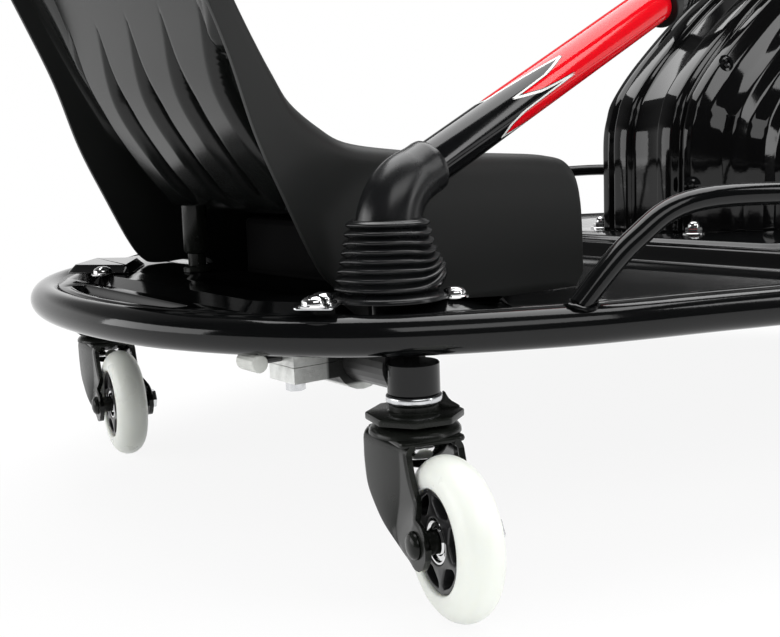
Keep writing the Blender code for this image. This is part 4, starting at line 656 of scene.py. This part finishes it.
# Boot: a moulded black rubber bellows round the bar. Its eight soft ribs crumple on the
# side where the bar leans over, and its plain skirt is clamped down on the tunnel.
BAR_X = 0.0075
BAR_Y = -0.182
BOOT_RIBS = 8
BOOT_LOW = 0.1596
BOOT_TOP = 0.1985
LEE = Vector((0.90, -0.44))
rubber = finish("black_moulded_rubber", (0.0042, 0.0045, 0.0050), (0.0080, 0.0084, 0.0090), 0.25, 0.08,
                blotch=45, grain=1800, bump=0.20, wave=0.4, distance=0.00014, specular=0.42)
pitch = (BOOT_TOP - BOOT_LOW) / BOOT_RIBS
boot_profile = [(0.0192, BOOT_TOP - 0.0004), (0.0206, BOOT_TOP)]
for k in range(BOOT_RIBS):
    share = k / (BOOT_RIBS - 1)
    crest = 0.0238 + 0.0054 * share ** 0.8
    for i in range(7):
        a = pi * i / 6
        boot_profile.append((crest - 0.0030 * (1 - sin(a)) - 0.0002,
                             BOOT_TOP - pitch * (k + 0.06 + 0.88 * i / 6)))
boot_profile += [(0.0270, BOOT_LOW), (0.0300, BOOT_LOW - 0.0010), (0.0316, BOOT_LOW - 0.0018),
                 (0.0323, BOOT_LOW - 0.0028), (0.0323, 0.1555), (0.0256, 0.1555), (0.0244, BOOT_LOW + 0.002),
                 (0.0212, BOOT_TOP - 0.008), (0.0192, BOOT_TOP - 0.0004)]
boot_shape = turned(bmesh.new(), boot_profile, 96)

# The ribs bunch up and outward on the lee side, and the other side bulges a little.
for v in boot_shape.verts:
    round_at = Vector((v.co.x, v.co.y)).normalized()
    lee = max(0.0, round_at.dot(LEE)) ** 3
    height = min(max((v.co.z - BOOT_LOW) / (BOOT_TOP - BOOT_LOW), 0.0), 1.0)
    low_part = ease(1 - height / 0.62) * ease(height / 0.10)
    v.co.z += 0.0085 * lee * low_part
    v.co.x += round_at.x * (0.0030 * lee * low_part - 0.0016 * lee * ease((height - 0.45) / 0.3))
    v.co.y += round_at.y * 0.0030 * lee * low_part
    v.co.z += 0.0009 * sin(round_at.x * 4 + round_at.y * 3) * 4 * height * (1 - height)
    bulge = 0.0024 * max(0.0, -round_at.dot(LEE)) * ease(1 - height / 0.75) * ease(height / 0.06)
    v.co.x += round_at.x * bulge
    v.co.y += round_at.y * bulge
bmesh.ops.translate(boot_shape, vec=(BAR_X, BAR_Y, 0), verts=boot_shape.verts)
boot = piece("bar_boot", boot_shape, rubber, None, slot="black_rubber", sharp=80)
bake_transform(boot)
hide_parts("boot")

# Hand bar: a round steel tube bent up through the deck, coated in gloss black. A thick
# moulded elbow sleeve covers its bend, and a glossy film with a jagged edge wraps it.
BAR_R = 0.0127
BEND_R = 0.030
CORNER_Z = 0.2111
GRIP_START = 0.2270
SHAFT_Z = 0.1212
SHAFT_R = 0.0140
BAR_SLOPE = radians(26.8)
BAR_WAY = Vector((cos(BAR_SLOPE), 0, sin(BAR_SLOPE)))


def on_slope(x):
    """The bar's centre on its straight run."""
    return Vector((x, BAR_Y, CORNER_Z + (x - BAR_X) * tan(BAR_SLOPE)))


def elbow(low):
    """The bar's centre from below, round its bend to the start of the slope."""
    turn = pi / 2 - BAR_SLOPE
    start = CORNER_Z - BEND_R * tan(turn / 2)
    made = [Vector((BAR_X, BAR_Y, low + (start - low) * k / 4)) for k in range(4)]
    for k in range(17):
        a = pi - turn * k / 16
        made.append(Vector((BAR_X + BEND_R + BEND_R * cos(a), BAR_Y, start + BEND_R * sin(a))))
    return made


def along_bar(start):
    """A place on the bar with Z along it."""
    return Matrix.Translation(start) @ BAR_WAY.to_track_quat("Z", "Y").to_matrix().to_4x4()


FILM_START = 0.079
FILM_REACH = 0.075
FILM_EDGE = ((0.0, 0.048), (0.083, 0.062), (0.194, 0.0), (0.292, 0.050), (0.330, 0.026), (0.387, 0.0),
             (0.440, 0.008), (0.468, 0.020), (0.480, 0.067), (0.500, 0.050), (0.518, 0.038), (0.560, 0.026),
             (0.594, 0.0174), (0.600, 0.046), (0.620, 0.055), (0.655, 0.066), (0.694, 0.0374), (0.731, 0.005),
             (0.779, 0.0013), (0.917, 0.050), (0.972, 0.026), (1.0, 0.048))
LINE_TURNS = (0.0, -0.0068, 0.0068)
LINE_AND_SHADE_TURNS = LINE_TURNS + (-0.0112, 0.0112)


def film_material():
    """Gloss black with a red wrap from a jagged edge up to the grip, edged in white and black.

    The edge is a colour ramp round the bar. It is read five times, a little turned each way,
    and the least and greatest of those readings bound a line of even width.
    """
    made = finish("gloss_black_bar_with_red_film", (0.0024, 0.0026, 0.0030), (0.004, 0.0042, 0.0046), 0.09,
                  0.04, blotch=30, grain=900, bump=0.02, specular=0.45)
    tree = made.node_tree
    start = on_slope(FILM_START) + Vector((KING_X, 0, 0))
    away = node(tree, "VectorMath", object_place(tree), start, operation="SUBTRACT").outputs["Vector"]
    along, across, side = (node(tree, "VectorMath", away, way, operation="DOT_PRODUCT").outputs["Value"]
                           for way in (BAR_WAY, (-sin(BAR_SLOPE), 0, cos(BAR_SLOPE)), (0, -1, 0)))
    round_share = ranged(tree, worked(tree, "ARCTAN2", across, side), -pi, pi)
    readings = []
    for turn in LINE_AND_SHADE_TURNS:
        teeth = node(tree, "ValToRGB", worked(tree, "FRACT", worked(tree, "ADD", round_share, turn)))
        grey_stops(teeth, [(place, length / FILM_REACH) for place, length in FILM_EDGE])
        readings.append(worked(tree, "MULTIPLY", teeth.outputs["Color"], FILM_REACH))

    def past(operation, sockets, margin):
        """Mask of what lies past the least or greatest of some readings."""
        found = sockets[0]
        for socket in sockets[1:]:
            found = worked(tree, operation, found, socket)
        return worked(tree, "GREATER_THAN", along, worked(tree, "ADD", found, margin))

    line = readings[:len(LINE_TURNS)]
    base_input = tree.nodes["Principled BSDF"].inputs["Base Color"]
    colour = base_input.links[0].from_socket
    for mask, shade in ((past("MINIMUM", line, -0.0008), (0.80, 0.80, 0.78, 1)),
                        (past("MAXIMUM", line, 0.0008), (0.01, 0.01, 0.01, 1)),
                        (past("MAXIMUM", readings, 0.0014), (0.74, 0.003, 0.010, 1))):
        colour = mixed(tree, mask, colour, shade)
    feed(tree, base_input, colour)
    return made


bar_path = elbow(0.1275) + [on_slope(x) for x in (0.06, 0.12, 0.18, 0.2268)]
bar_shape = sweep(bmesh.new(), bar_path, [BAR_R] * len(bar_path), 48)
for v in bar_shape.verts:
    over = v.co.z - SHAFT_Z
    if Vector((v.co.x, over)).length < SHAFT_R:
        v.co.z = SHAFT_Z + sqrt(max(SHAFT_R ** 2 - v.co.x ** 2, 0.0))
piece("bent_bar", bar_shape, film_material(), "drift_axle", "drift_bar", slot="gloss_black_paint", sharp=50)
sleeve_path = elbow(0.1862) + [on_slope(x) for x in (0.0250, 0.0300, 0.0345, 0.0368, 0.0380)]
lengths = [0.0]
for a, b in zip(sleeve_path, sleeve_path[1:]):
    lengths.append(lengths[-1] + (b - a).length)
sleeve_radii = []
for s in lengths:
    share = s / lengths[-1]
    swell = 0.0007 * sin(pi * share) + 0.0006 * ease((share - 0.86) / 0.05)
    sleeve_radii.append(0.0185 - 0.0042 * share + swell - (0.0009 if s == lengths[-1] else 0.0))
sleeve_shape = sweep(bmesh.new(), sleeve_path, sleeve_radii, 48)
piece("elbow_cover", sleeve_shape, rubber, "drift_axle", "elbow_sleeve", slot="black_rubber", sharp=50)
ring_profile = mm([(12.8, 7), (16.6, 7), (17.1, 6.5), (17.1, 0.5), (16.6, 0), (12.8, 0), (11.8, 0), (11.8, 7),
                   (12.8, 7)])
collar = turned(bmesh.new(), ring_profile, 48, along_bar(on_slope(GRIP_START) + BAR_WAY * 0.0003))
piece("grip_collar", collar, satin_seat, "drift_axle", "grip_ring", slot="satin_black_moulding", sharp=30)
grip_profile = mm([(0, 112), (11.8, 112), (14.5, 111), (15.7, 108.5)])
for k in range(24):
    z = 0.106 - 0.0042 * k
    grip_profile += [(0.0157, z), (0.0148, z - 0.0012), (0.0148, z - 0.0022), (0.0157, z - 0.0034)]
grip_profile += mm([(15.7, 0.6), (15.2, 0), (0, 0)])
grip_shape = turned(bmesh.new(), grip_profile, 48, along_bar(on_slope(GRIP_START) + BAR_WAY * 0.0076))
piece("hand_grip", grip_shape, rubber, "drift_axle", "bar_grip", slot="black_rubber", sharp=35)

# Kingpin stems: machined steel posts under the shaft's ends, in gloss black, each on a
# bright thick washer that keeps it clear of the caster's top plate.
TRACK_HALF = 0.209
SWIVEL = {"right": radians(-104.4), "left": radians(-100.5)}
SIDES = (("right", -1), ("left", 1))
PIN_PLACE = {label: Matrix.Translation((0, side * TRACK_HALF, 0)) for label, side in SIDES}
CASTER_PLACE = {label: PIN_PLACE[label] @ Matrix.Rotation(SWIVEL[label], 4, "Z") for label in PIN_PLACE}
STEM_LOW, STEM_TOP = 0.1081, 0.1247
for label, at_pin in PIN_PLACE.items():
    stem_shape = turned(bmesh.new(), [(0, STEM_TOP), (0.0136, STEM_TOP), (0.0141, STEM_TOP - 0.0005),
                                      (0.0141, STEM_LOW + 0.0006), (0.0136, STEM_LOW), (0, STEM_LOW)], 56,
                        at_pin)
    piece("kingpin_stem_" + label, stem_shape, gloss_paint, "drift_axle", "stem_" + label,
          slot="gloss_black_paint", sharp=35)
    washer_shape = turned(bmesh.new(), mm([(0, 107.8), (14.1, 107.8), (14.8, 107.5), (15.1, 106.8),
                                           (15.1, 104.4), (14.7, 103.6), (13.9, 103.3), (0, 103.3)]), 56,
                          at_pin)
    piece("thrust_washer_" + label, washer_shape, zinc, "drift_axle", "stem_washer_" + label,
          slot="zinc_plate", sharp=60)

# Caster top plates: pressed octagons with a turned neck and a welded gusset that rises
# beside the stem, coated satin black. The kingpin and its nut hang below.
OCTAGON_R = 0.0265
GUSSET_TURN = radians(24)
octagon = circle(0, 0, OCTAGON_R, 8, radians(22.5))
for label, side in SIDES:
    at_pin = PIN_PLACE[label]
    plate_shape = moved(plate(bmesh.new(), octagon, 0.0945, 0.0987, 0.0011), CASTER_PLACE[label])
    turned(plate_shape, mm([(0, 102.9), (13, 102.9), (13.5, 102.4), (13.5, 99.6), (14.1, 98.9), (15.2, 98.5),
                            (0, 98.5)]), 48, at_pin)
    turned(plate_shape, mm([(0, 95), (17.6, 95), (17.8, 94.6), (17.8, 93.6), (17.2, 93.4), (7.9, 93.4),
                            (7.9, 70.5), (7.4, 69.8), (0, 69.8)]), 48, at_pin)
    nut_shape = turned(bmesh.new(), mm([(0, 69.2), (7.8, 69.2), (8.8, 69.8), (8.8, 73.8), (8, 74.7),
                                        (0, 74.7)]), 6, at_pin)
    web_line = mm([(7.5, 97.5), (24.8, 97.5), (24.6, 99.2), (22.8, 100.4), (20.6, 101.8), (18.8, 103.6),
                   (17.6, 105.6), (16.8, 107.4), (15.7, 107.4), (15.7, 103), (7.5, 103)])
    web_shape = plate(bmesh.new(), web_line, -0.0015, 0.0015, 0.0005)
    upright = Matrix.Rotation(radians(90), 4, "X")
    moved(web_shape, at_pin @ Matrix.Rotation(side * GUSSET_TURN, 4, "Z") @ upright)
    piece("caster_top_" + label, plate_shape, coated_steel, "drift_axle", "caster_plate_" + label,
          slot="black_coated_steel", sharp=30)
    piece("stem_gusset_" + label, web_shape, coated_steel, "drift_axle", slot="black_coated_steel", sharp=30)
    piece("kingpin_nut_" + label, nut_shape, coated_steel, "drift_axle", slot="black_coated_steel", sharp=30)

# Caster forks: pressed steel with a domed crown and two swept legs. Each leg's rear edge
# is rolled inward along a crease, and its lower end is a round boss for the axle.
AXLE = Vector((0.044, 0, 0.042))
LEG_FACE = 0.0214
LEG_BACK = mm([(-25.5, 87.2), (-25.5, 77), (-25.3, 68.6), (-22.2, 56), (-14.1, 48.2), (-2, 40.5),
               (12.4, 35.4), (27, 32), (36, 31), (44, 29.2), (51, 31.2), (56.6, 38.5)])
LEG_FRONT = mm([(25, 87.2), (25.2, 84), (25.5, 81), (29, 72), (34.5, 64), (38.5, 60.5), (41.8, 57.8),
                (44, 55.2), (47, 54.6), (51.5, 52.6), (55.2, 48.7), (57, 44)])
LEG_CREASE = [(k, 0) for k in (0.86, 0.86, 0.86, 0.795, 0.636, 0.42, 0.14, 0.02, 0.0, 0.0, 0.0, 0.0)]
CREASE_MESH_SHARE = 0.6
LEG_SHEET = 0.0034


def leg_skin(shape, side):
    """One leg as a pressed strip: u runs from the crown to the boss, v from the rear edge to the front."""
    grid = bmesh.ops.create_grid(shape, x_segments=66, y_segments=50, size=1.0)["verts"]
    for v in grid:
        u = (v.co.x + 1) / 2 * (len(LEG_BACK) - 1)
        crease = max(spline_at(LEG_CREASE, u)[0], 0.02)
        share = (v.co.y + 1) / 2
        if share < CREASE_MESH_SHARE:
            t = share / CREASE_MESH_SHARE * crease
        else:
            t = crease + (share - CREASE_MESH_SHARE) / (1 - CREASE_MESH_SHARE) * (1 - crease)
        p = spline_at(LEG_BACK, u).lerp(spline_at(LEG_FRONT, u), t)
        sunk = 0.0042 * min(t / crease, 1.0) ** 2 * ease((7.4 - u) / 3.2)
        rear_roll = 0.0016 * ease(1 - t / 0.08) * ease((9.0 - u) / 3.0)
        front_roll = 0.0008 * ease(1 - (1 - t) / 0.05)
        fold = 0.0060 * (1 - sqrt(max(1 - max((p.y - 0.0812) / 0.0062, 0.0) ** 2, 0.0)))
        v.co = Vector((p.x, side * (LEG_FACE - sunk - rear_roll - front_roll - fold), p.y))


for label, put in CASTER_PLACE.items():
    for way, hand in ((-1, "outer"), (1, "inner")):
        leg_shape = bmesh.new()
        leg_skin(leg_shape, way)
        leg_shape.normal_update()
        look_out = sum(f.normal.y * f.calc_area() for f in leg_shape.faces) * way
        if look_out < 0:
            bmesh.ops.reverse_faces(leg_shape, faces=leg_shape.faces)
        bmesh.ops.solidify(leg_shape, geom=leg_shape.faces, thickness=LEG_SHEET)
        moved(leg_shape, put)
        piece(f"fork_leg_{label}_{hand}", leg_shape, coated_steel, "caster_" + label,
              slot="black_coated_steel", sharp=50)
    crown_line = rounded(mm([(-25, -18.6), (25, -18.6), (25, 18.6), (-25, 18.6)]), 0.005, 5)
    crown_shape = moved(plate(bmesh.new(), crown_line, 0.0850, 0.0882, 0.0014), Matrix.Identity(4))
    turned(crown_shape, mm([(8.6, 92.8), (18.5, 92.8), (21.5, 92.2), (23.6, 90.8), (24.6, 89.2), (24.7, 87.6),
                            (20, 87.6), (8.6, 87.6), (8.6, 92.8)]), 56)
    moved(crown_shape, put)
    piece("fork_crown_" + label, crown_shape, coated_steel, "caster_" + label, "fork_" + label,
          slot="black_coated_steel", sharp=35)
    cup_shape = turned(bmesh.new(), mm([(8.4, 84.2), (16.2, 84.2), (16.7, 83.8), (16.7, 79.8), (16.4, 78.4),
                                        (15.6, 77), (14.6, 75.8), (13.8, 75.2), (8.4, 75.2), (8.4, 84.2)]),
                       56, put)
    piece("swivel_cup_" + label, cup_shape, chrome, "caster_" + label, "bearing_cup_" + label,
          slot="chrome_plate", sharp=60)

# Caster wheels: cast white urethane tyres on moulded black hubs with six rounded spokes.
# Two sealed ball bearings sit in each hub, on a black bolt with a plain nut.
urethane = finish("cast_white_urethane", (0.80, 0.82, 0.77), (0.77, 0.795, 0.745), 0.30, 0.08, blotch=30,
                  grain=900, bump=0.04, distance=0.00015, specular=0.45)
for label, value in (("Weight", 0.35), ("Scale", 0.004), ("Radius", (1.0, 0.95, 0.8))):
    urethane.node_tree.nodes["Principled BSDF"].inputs["Subsurface " + label].default_value = value
hub_plastic = finish("black_hub_moulding", (0.011, 0.011, 0.0115), (0.017, 0.017, 0.018), 0.30, 0.08,
                     blotch=90, grain=2400, bump=0.08, distance=0.0001)
HUB_R = 0.0262
HUB_HALF = 0.01025
BORE_R = 0.0118
HUB_TURN = radians(12)


def hub_skin(shape):
    """The hub's face with its teardrop pockets, drawn through from one side to the other."""
    rim = loop(shape, circle(0, 0, HUB_R, 72), -HUB_HALF)
    bore = loop(shape, circle(0, 0, BORE_R, 48), -HUB_HALF)
    edges = rim + bore
    for k in range(6):
        middle = 2 * pi * k / 6
        corners = [(0.0236, -0.40), (0.0241, 0.0), (0.0236, 0.40), (0.0205, 0.42), (0.0165, 0.20),
                   (0.0149, 0.0), (0.0165, -0.20), (0.0205, -0.42)]
        outline = rounded([(r * cos(middle + t), r * sin(middle + t)) for r, t in corners], 0.004, 3)
        edges += loop(shape, outline, -HUB_HALF)
    filled = bmesh.ops.triangle_fill(shape, use_beauty=True, edges=edges)["geom"]
    faces = [g for g in filled if isinstance(g, bmesh.types.BMFace)]
    return soften(raised(shape, faces, 2 * HUB_HALF), 0.0011, 3, 60)


for label, put in CASTER_PLACE.items():
    on_axle = put @ Matrix.Translation(AXLE) @ Matrix.Rotation(pi / 2, 4, "X")
    tyre_profile = [(HUB_R + 0.0003, 0.0100), (HUB_R + 0.0006, 0.0113), (HUB_R + 0.0016, 0.0119)]
    for k in range(25):
        a = radians(90 - 7.5 * k)
        tyre_profile.append((0.0295 + 0.0125 * cos(a), 0.0120 * sin(a)))
    tyre_profile += [(HUB_R + 0.0016, -0.0119), (HUB_R + 0.0006, -0.0113), (HUB_R + 0.0003, -0.0100),
                     (HUB_R + 0.0003, 0.0100)]
    tyre = turned(bmesh.new(), tyre_profile, 96, on_axle)
    piece("wheel_tyre_" + label, tyre, urethane, "wheel_" + label, "tyre_" + label, slot="white_urethane",
          sharp=60)
    hub_shape = moved(hub_skin(bmesh.new()), on_axle @ Matrix.Rotation(HUB_TURN, 4, "Z"))
    turned(hub_shape, [(HUB_R - 0.0004, 0.0099), (HUB_R, 0.0096), (HUB_R, -0.0096), (HUB_R - 0.0004, -0.0099),
                       (HUB_R - 0.0018, -0.0096), (HUB_R - 0.0018, 0.0096), (HUB_R - 0.0004, 0.0099)], 72,
           on_axle)
    piece("wheel_hub_" + label, hub_shape, hub_plastic, "wheel_" + label, "hub_" + label,
          slot="matt_black_plastic", sharp=35)
    bearing_shape = bmesh.new()
    for way in (-1, 1):
        profile = mm([(11.6, 4), (11.6, 9.6), (11.4, 9.9), (10.4, 9.9), (10, 9.1), (9.6, 8.6), (7.4, 8.6),
                      (7.1, 9.1), (6.7, 9.7), (4.6, 9.7), (4.4, 9.4), (4.4, 4), (11.6, 4)])
        turned(bearing_shape, [(r, way * z) for r, z in profile], 48, on_axle)
    piece("ball_bearings_" + label, bearing_shape, chrome, "wheel_" + label, "bearing_" + label,
          slot="chrome_plate", sharp=35)
    face = LEG_FACE + 0.0003
    head = [(0, face + 0.0036), (0.0030, face + 0.0034), (0.0052, face + 0.0027), (0.0066, face + 0.0016),
            (0.0072, face + 0.0004), (0.0072, face), (0.0040, face), (0.0040, 0.0173), (0.0061, 0.0173),
            (0.0061, 0.0101), (0.0040, 0.0101), (0.0040, -0.0101), (0.0061, -0.0101), (0.0061, -0.0173),
            (0.0040, -0.0173), (0.0040, -face - 0.0046), (0, -face - 0.0046)]
    bolt_shape = turned(bmesh.new(), head, 40, on_axle)
    piece("wheel_bolt_" + label, bolt_shape, coated_steel, "caster_" + label, "axle_bolt_" + label,
          slot="black_coated_steel", sharp=35)
    nut_shape = turned(bmesh.new(), [(0.0042, -face - 0.0003), (0.0070, -face - 0.0003),
                                     (0.0076, -face - 0.0008), (0.0076, -face - 0.0036),
                                     (0.0068, -face - 0.0041), (0.0042, -face - 0.0041),
                                     (0.0042, -face - 0.0003)], 6, on_axle)
    piece("wheel_nut_" + label, nut_shape, zinc, "caster_" + label, "axle_nut_" + label, slot="zinc_plate",
          sharp=25)

# Clamps and stop under the tunnel: sand-cast aluminium saddles and straps with a coarse
# skin, pulled together by plated bolts round the satin black tilting shaft.
cast_alloy = finish("sand_cast_aluminium_painted_shade", (0.78, 0.79, 0.77), (0.62, 0.63, 0.61), 0.40, 0.18, blotch=220,
                    grain=1400, bump=0.5, wave=1.2, distance=0.0004, metallic=0.75)
tree = cast_alloy.node_tree
where = node(tree, "SeparateXYZ", object_place(tree)).outputs
# Painted shade: the saddles and caps are coloured dark grey everywhere except their rear flange and a thin
# band along their bottom. Those two keep the bright cast colour as their lit faces.
lit_rear_flange = ranged(tree, where["X"], KING_X - 0.0225, KING_X - 0.0245)
lit_lower_band = ranged(tree, where["Z"], 0.1078, 0.1062)
base_input = tree.nodes["Principled BSDF"].inputs["Base Color"]
feed(tree, base_input, mixed(tree, worked(tree, "MAXIMUM", lit_rear_flange, lit_lower_band), (0.045, 0.046, 0.045, 1),
                             base_input.links[0].from_socket))
worn_steel = finish("shaft_black_coating", (0.012, 0.012, 0.012), (0.03, 0.03, 0.03), 0.34, 0.12, blotch=150,
                    grain=1600, bump=0.2, distance=0.00015)


def dress(look, *names):
    """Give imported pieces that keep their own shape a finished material."""
    for name in names:
        node_object = bpy.data.objects[name]
        for place in node_object.material_slots:
            place.material = look
        if not node_object.material_slots:
            node_object.data.materials.append(look)


dress(cast_alloy, "clamp_saddle_right", "clamp_saddle_left", "clamp_cap_right", "clamp_cap_left")
dress(zinc, "clamp_bolt_1", "clamp_bolt_2", "clamp_bolt_3", "clamp_bolt_4", "drive_axle", "pedal_pin")
dress(worn_steel, "drift_shaft", "stop_rod")
barrel_alloy = finish("blasted_pale_alloy", (0.60, 0.61, 0.58), (0.52, 0.53, 0.50), 0.45, 0.10, blotch=200,
                      grain=1500, bump=0.2, metallic=0.2)
dress(barrel_alloy, "stop_barrel")

# Battery box under the seat, switch housing and charge port: plain moulded cases with a
# fine spark-eroded texture, screwed to the deck.
case_plastic = finish("textured_black_case", (0.004, 0.004, 0.0042), (0.006, 0.006, 0.0064), 0.55, 0.08,
                      blotch=50, grain=1300, bump=0.35, distance=0.00015, specular=0.04)
dress(case_plastic, "battery_box", "power_switch_housing", "charge_port")

# Steering head, column and fork of the driven wheel: steel tube and plate, welded and
# coated satin black. The hub motor and the pedal's bracket have the same coat.
frame_steel = finish("coated_frame_steel", (0.014, 0.014, 0.015), (0.024, 0.024, 0.025), 0.34, 0.10,
                     blotch=40, grain=1500, bump=0.15, wave=0.3)
dress(frame_steel, "head_bridge", "column_bearing", "drive_fork", "steering_column", "motor_hub",
      "pedal_bracket")

# Steering wheel: a thick foamed rim over a steel core. Its three flat spokes are welded
# to a turned hub that is fixed on the column.
grip_foam = finish("steering_rim_foam", (0.014, 0.014, 0.015), (0.020, 0.020, 0.021), 0.50, 0.08, blotch=60,
                   grain=1500, bump=0.3, specular=0.45)
RIM_R = 0.099
RIM_UP = 0.250
lean = Matrix.Translation(JOINT) @ Matrix.Rotation(-COLUMN_TILT, 4, "Y")
wheel_shape = bmesh.new()
rim_path = [(x, y, RIM_UP) for x, y in circle(0, 0, RIM_R, 96)]
rim_radii = [0.0109 - 0.0006 * (0.5 + 0.5 * sin(2 * pi * k * 18 / 96)) for k in range(96)]
moved(sweep(wheel_shape, rim_path, rim_radii, 28, True), lean)
turned(wheel_shape, mm([(0, 254), (23.6, 254), (25.5, 252.8), (25.9, 250.8), (25.9, 243), (22.5, 238),
                        (15, 236.2), (8.4, 236.2), (8.4, 245.5), (0, 245.5)]), 56, lean)
for round_deg in (180, 55, -55):
    spoke_line = rounded(mm([(18, -9.8), (60, -7.2), (94, -8.8), (94, 8.8), (60, 7.2), (18, 9.8)]), 0.004, 4)
    spoke_shape = plate(bmesh.new(), spoke_line, 0.2458, 0.2508, 0.0012)
    moved(spoke_shape, lean @ Matrix.Rotation(radians(round_deg), 4, "Z"))
    piece(f"wheel_spoke_{round_deg % 360}", spoke_shape, frame_steel, "steering_wheel",
          slot="black_coated_steel", sharp=35)
piece("steering_wheel_rim", wheel_shape, grip_foam, "steering_wheel", "steering_rim",
      slot="satin_black_moulding", sharp=50)

# Driven wheel: a rubber tyre moulded with two grooves in its middle and cut shoulders,
# fitted on the hub motor.
tread_rubber = finish("tread_rubber_compound", (0.017, 0.017, 0.017), (0.026, 0.026, 0.025), 0.70, 0.12,
                      blotch=40, grain=1200, bump=0.4, wave=0.4, distance=0.0003, specular=0.4)
FRONT_AXLE = (0.750, 0, 0.075)
on_front = Matrix.Translation(FRONT_AXLE) @ Matrix.Rotation(pi / 2, 4, "X")
half = mm([(52.4, 16.8), (60, 18.6), (66.8, 18.8), (70.2, 16.6), (72.4, 13.2), (73.9, 9.4), (74.4, 6.8),
           (72.2, 6.4), (72.2, 4.2), (74.7, 3.8), (74.9, 0)])
tread_profile = half + [(r, -z) for r, z in reversed(half[:-1])] + [half[0]]
piece("front_tyre", turned(bmesh.new(), tread_profile, 96, on_front), tread_rubber, "drive_wheel",
      "drive_tyre", slot="tread_rubber", sharp=30)

# Throttle pedal: a steel plate dipped in ribbed rubber. It tips on a pin through its
# bracket on the deck.
dress(rubber, "throttle_pedal")

# Power rocker: a red moulded key that is snapped into the switch housing on the deck
# and tips in it.
rocker_red = finish("red_switch_key", (0.62, 0.006, 0.012), (0.52, 0.005, 0.010), 0.25, 0.06, blotch=90,
                    grain=1800, bump=0.06, distance=0.0001)
dress(rocker_red, "switch_rocker")

# Studio: a plain pale floor under a pale backdrop. One broad softbox hangs overhead, with
# a second on the camera's side, a box at the left and a strip at the right.
def emitter(name, place, target, size, power):
    """A rectangular softbox that faces a point."""
    lamp = bpy.data.lights.new(name, "AREA")
    lamp.shape = "RECTANGLE"
    lamp.size, lamp.size_y = size
    lamp.energy = power
    made = placed(name, lamp)
    made.location = place
    made.rotation_mode = "QUATERNION"
    made.rotation_quaternion = (Vector(target) - Vector(place)).to_track_quat("-Z", "Y")


FLOOR_R = 9.0
floor_shape = bmesh.new()
bmesh.ops.create_circle(floor_shape, cap_ends=True, segments=96, radius=FLOOR_R)
floor_mesh = bpy.data.meshes.new("studio_floor")
floor_shape.to_mesh(floor_mesh)
floor_shape.free()
floor_look = bpy.data.materials.new("pale_floor")
floor_look.use_nodes = True
paper = floor_look.node_tree
paper_shader = paper.nodes["Principled BSDF"]
for label, value in (("Base Color", (0.93, 0.93, 0.93, 1)), ("Roughness", 0.9), ("Specular IOR Level", 0.0)):
    paper_shader.inputs[label].default_value = value
rays = node(paper, "LightPath").outputs
seen = worked(paper, "MAXIMUM", rays["Is Camera Ray"], rays["Is Glossy Ray"])
seen = worked(paper, "MAXIMUM", seen, rays["Is Transmission Ray"])
distance = node(paper, "VectorMath", object_place(paper), operation="LENGTH").outputs["Value"]
share = ranged(paper, distance, 0.5, 1.6, 0.90, 1.0, "SMOOTHSTEP")
white = node(paper, "Emission", (1, 1, 1, 1), 1.0).outputs["Emission"]
shown = node(paper, "MixShader", worked(paper, "MULTIPLY", share, seen), paper_shader.outputs["BSDF"], white)
feed(paper, paper.nodes["Material Output"].inputs["Surface"], shown.outputs["Shader"])
floor_mesh.materials.append(floor_look)
floor = placed("studio_floor", floor_mesh)

CAMERA_WAY = (0.595, 0.804, 0.0)
world = bpy.data.worlds.new("studio_light")
bpy.context.scene.world = world
world.use_nodes = True
sky = world.node_tree
toward = node(sky, "TexCoord").outputs["Generated"]
height = ranged(sky, node(sky, "SeparateXYZ", toward).outputs["Z"], -1.0, 1.0)
ramp = node(sky, "ValToRGB", height)
grey_stops(ramp, ((0.0, 0.06), (1.0, 0.16), (0.46, 0.08), (0.485, 1.0), (0.60, 1.0), (0.68, 0.26),
                  (0.80, 0.16)))
facing = node(sky, "VectorMath", toward, CAMERA_WAY, operation="DOT_PRODUCT").outputs["Value"]
behind = mixed(sky, node(sky, "LightPath").outputs["Is Diffuse Ray"], (0.04, 0.04, 0.04, 1),
               (0.62, 0.62, 0.62, 1))
room = mixed(sky, ranged(sky, facing, -0.10, 0.35, 0.0, 1.0, "SMOOTHSTEP"), behind, ramp.outputs["Color"])
feed(sky, sky.nodes["Background"].inputs["Color"], room)
emitter("overhead_softbox", (0.3, 0.25, 1.9), (0.2, 0.15, 0.1), (2.4, 1.8), 58.0)
emitter("camera_side_softbox", (-0.6, -1.6, 1.3), (0.0, 0.0, 0.15), (1.6, 0.7), 9.0)
emitter("left_box", (-2.1, 0.95, 0.5), (-0.45, 0.0, 0.15), (1.5, 0.8), 12.0)
emitter("right_strip", (0.9, -1.9, 1.0), (0.2, 0.0, 0.2), (0.35, 1.6), 8.0)

lens = bpy.data.cameras.new("photo_camera")
lens.lens = 49.41
lens.sensor_width = 36.0
lens.clip_start, lens.clip_end = 0.02, 60.0
camera = placed("photo_camera", lens)
right = Vector((0.79980794, -0.59911744, -0.03695335))
up = Vector((0.1207801, 0.10032404, 0.98759671))
ahead = Vector((0.5879791, 0.79435092, -0.15260143))
turn = Matrix((right, up, -ahead)).transposed().to_4x4()
camera.matrix_world = Matrix.Translation((-0.70061, -0.64639, 0.23327)) @ turn
bpy.context.scene.camera = camera
bpy.context.scene.view_settings.view_transform = "Standard"
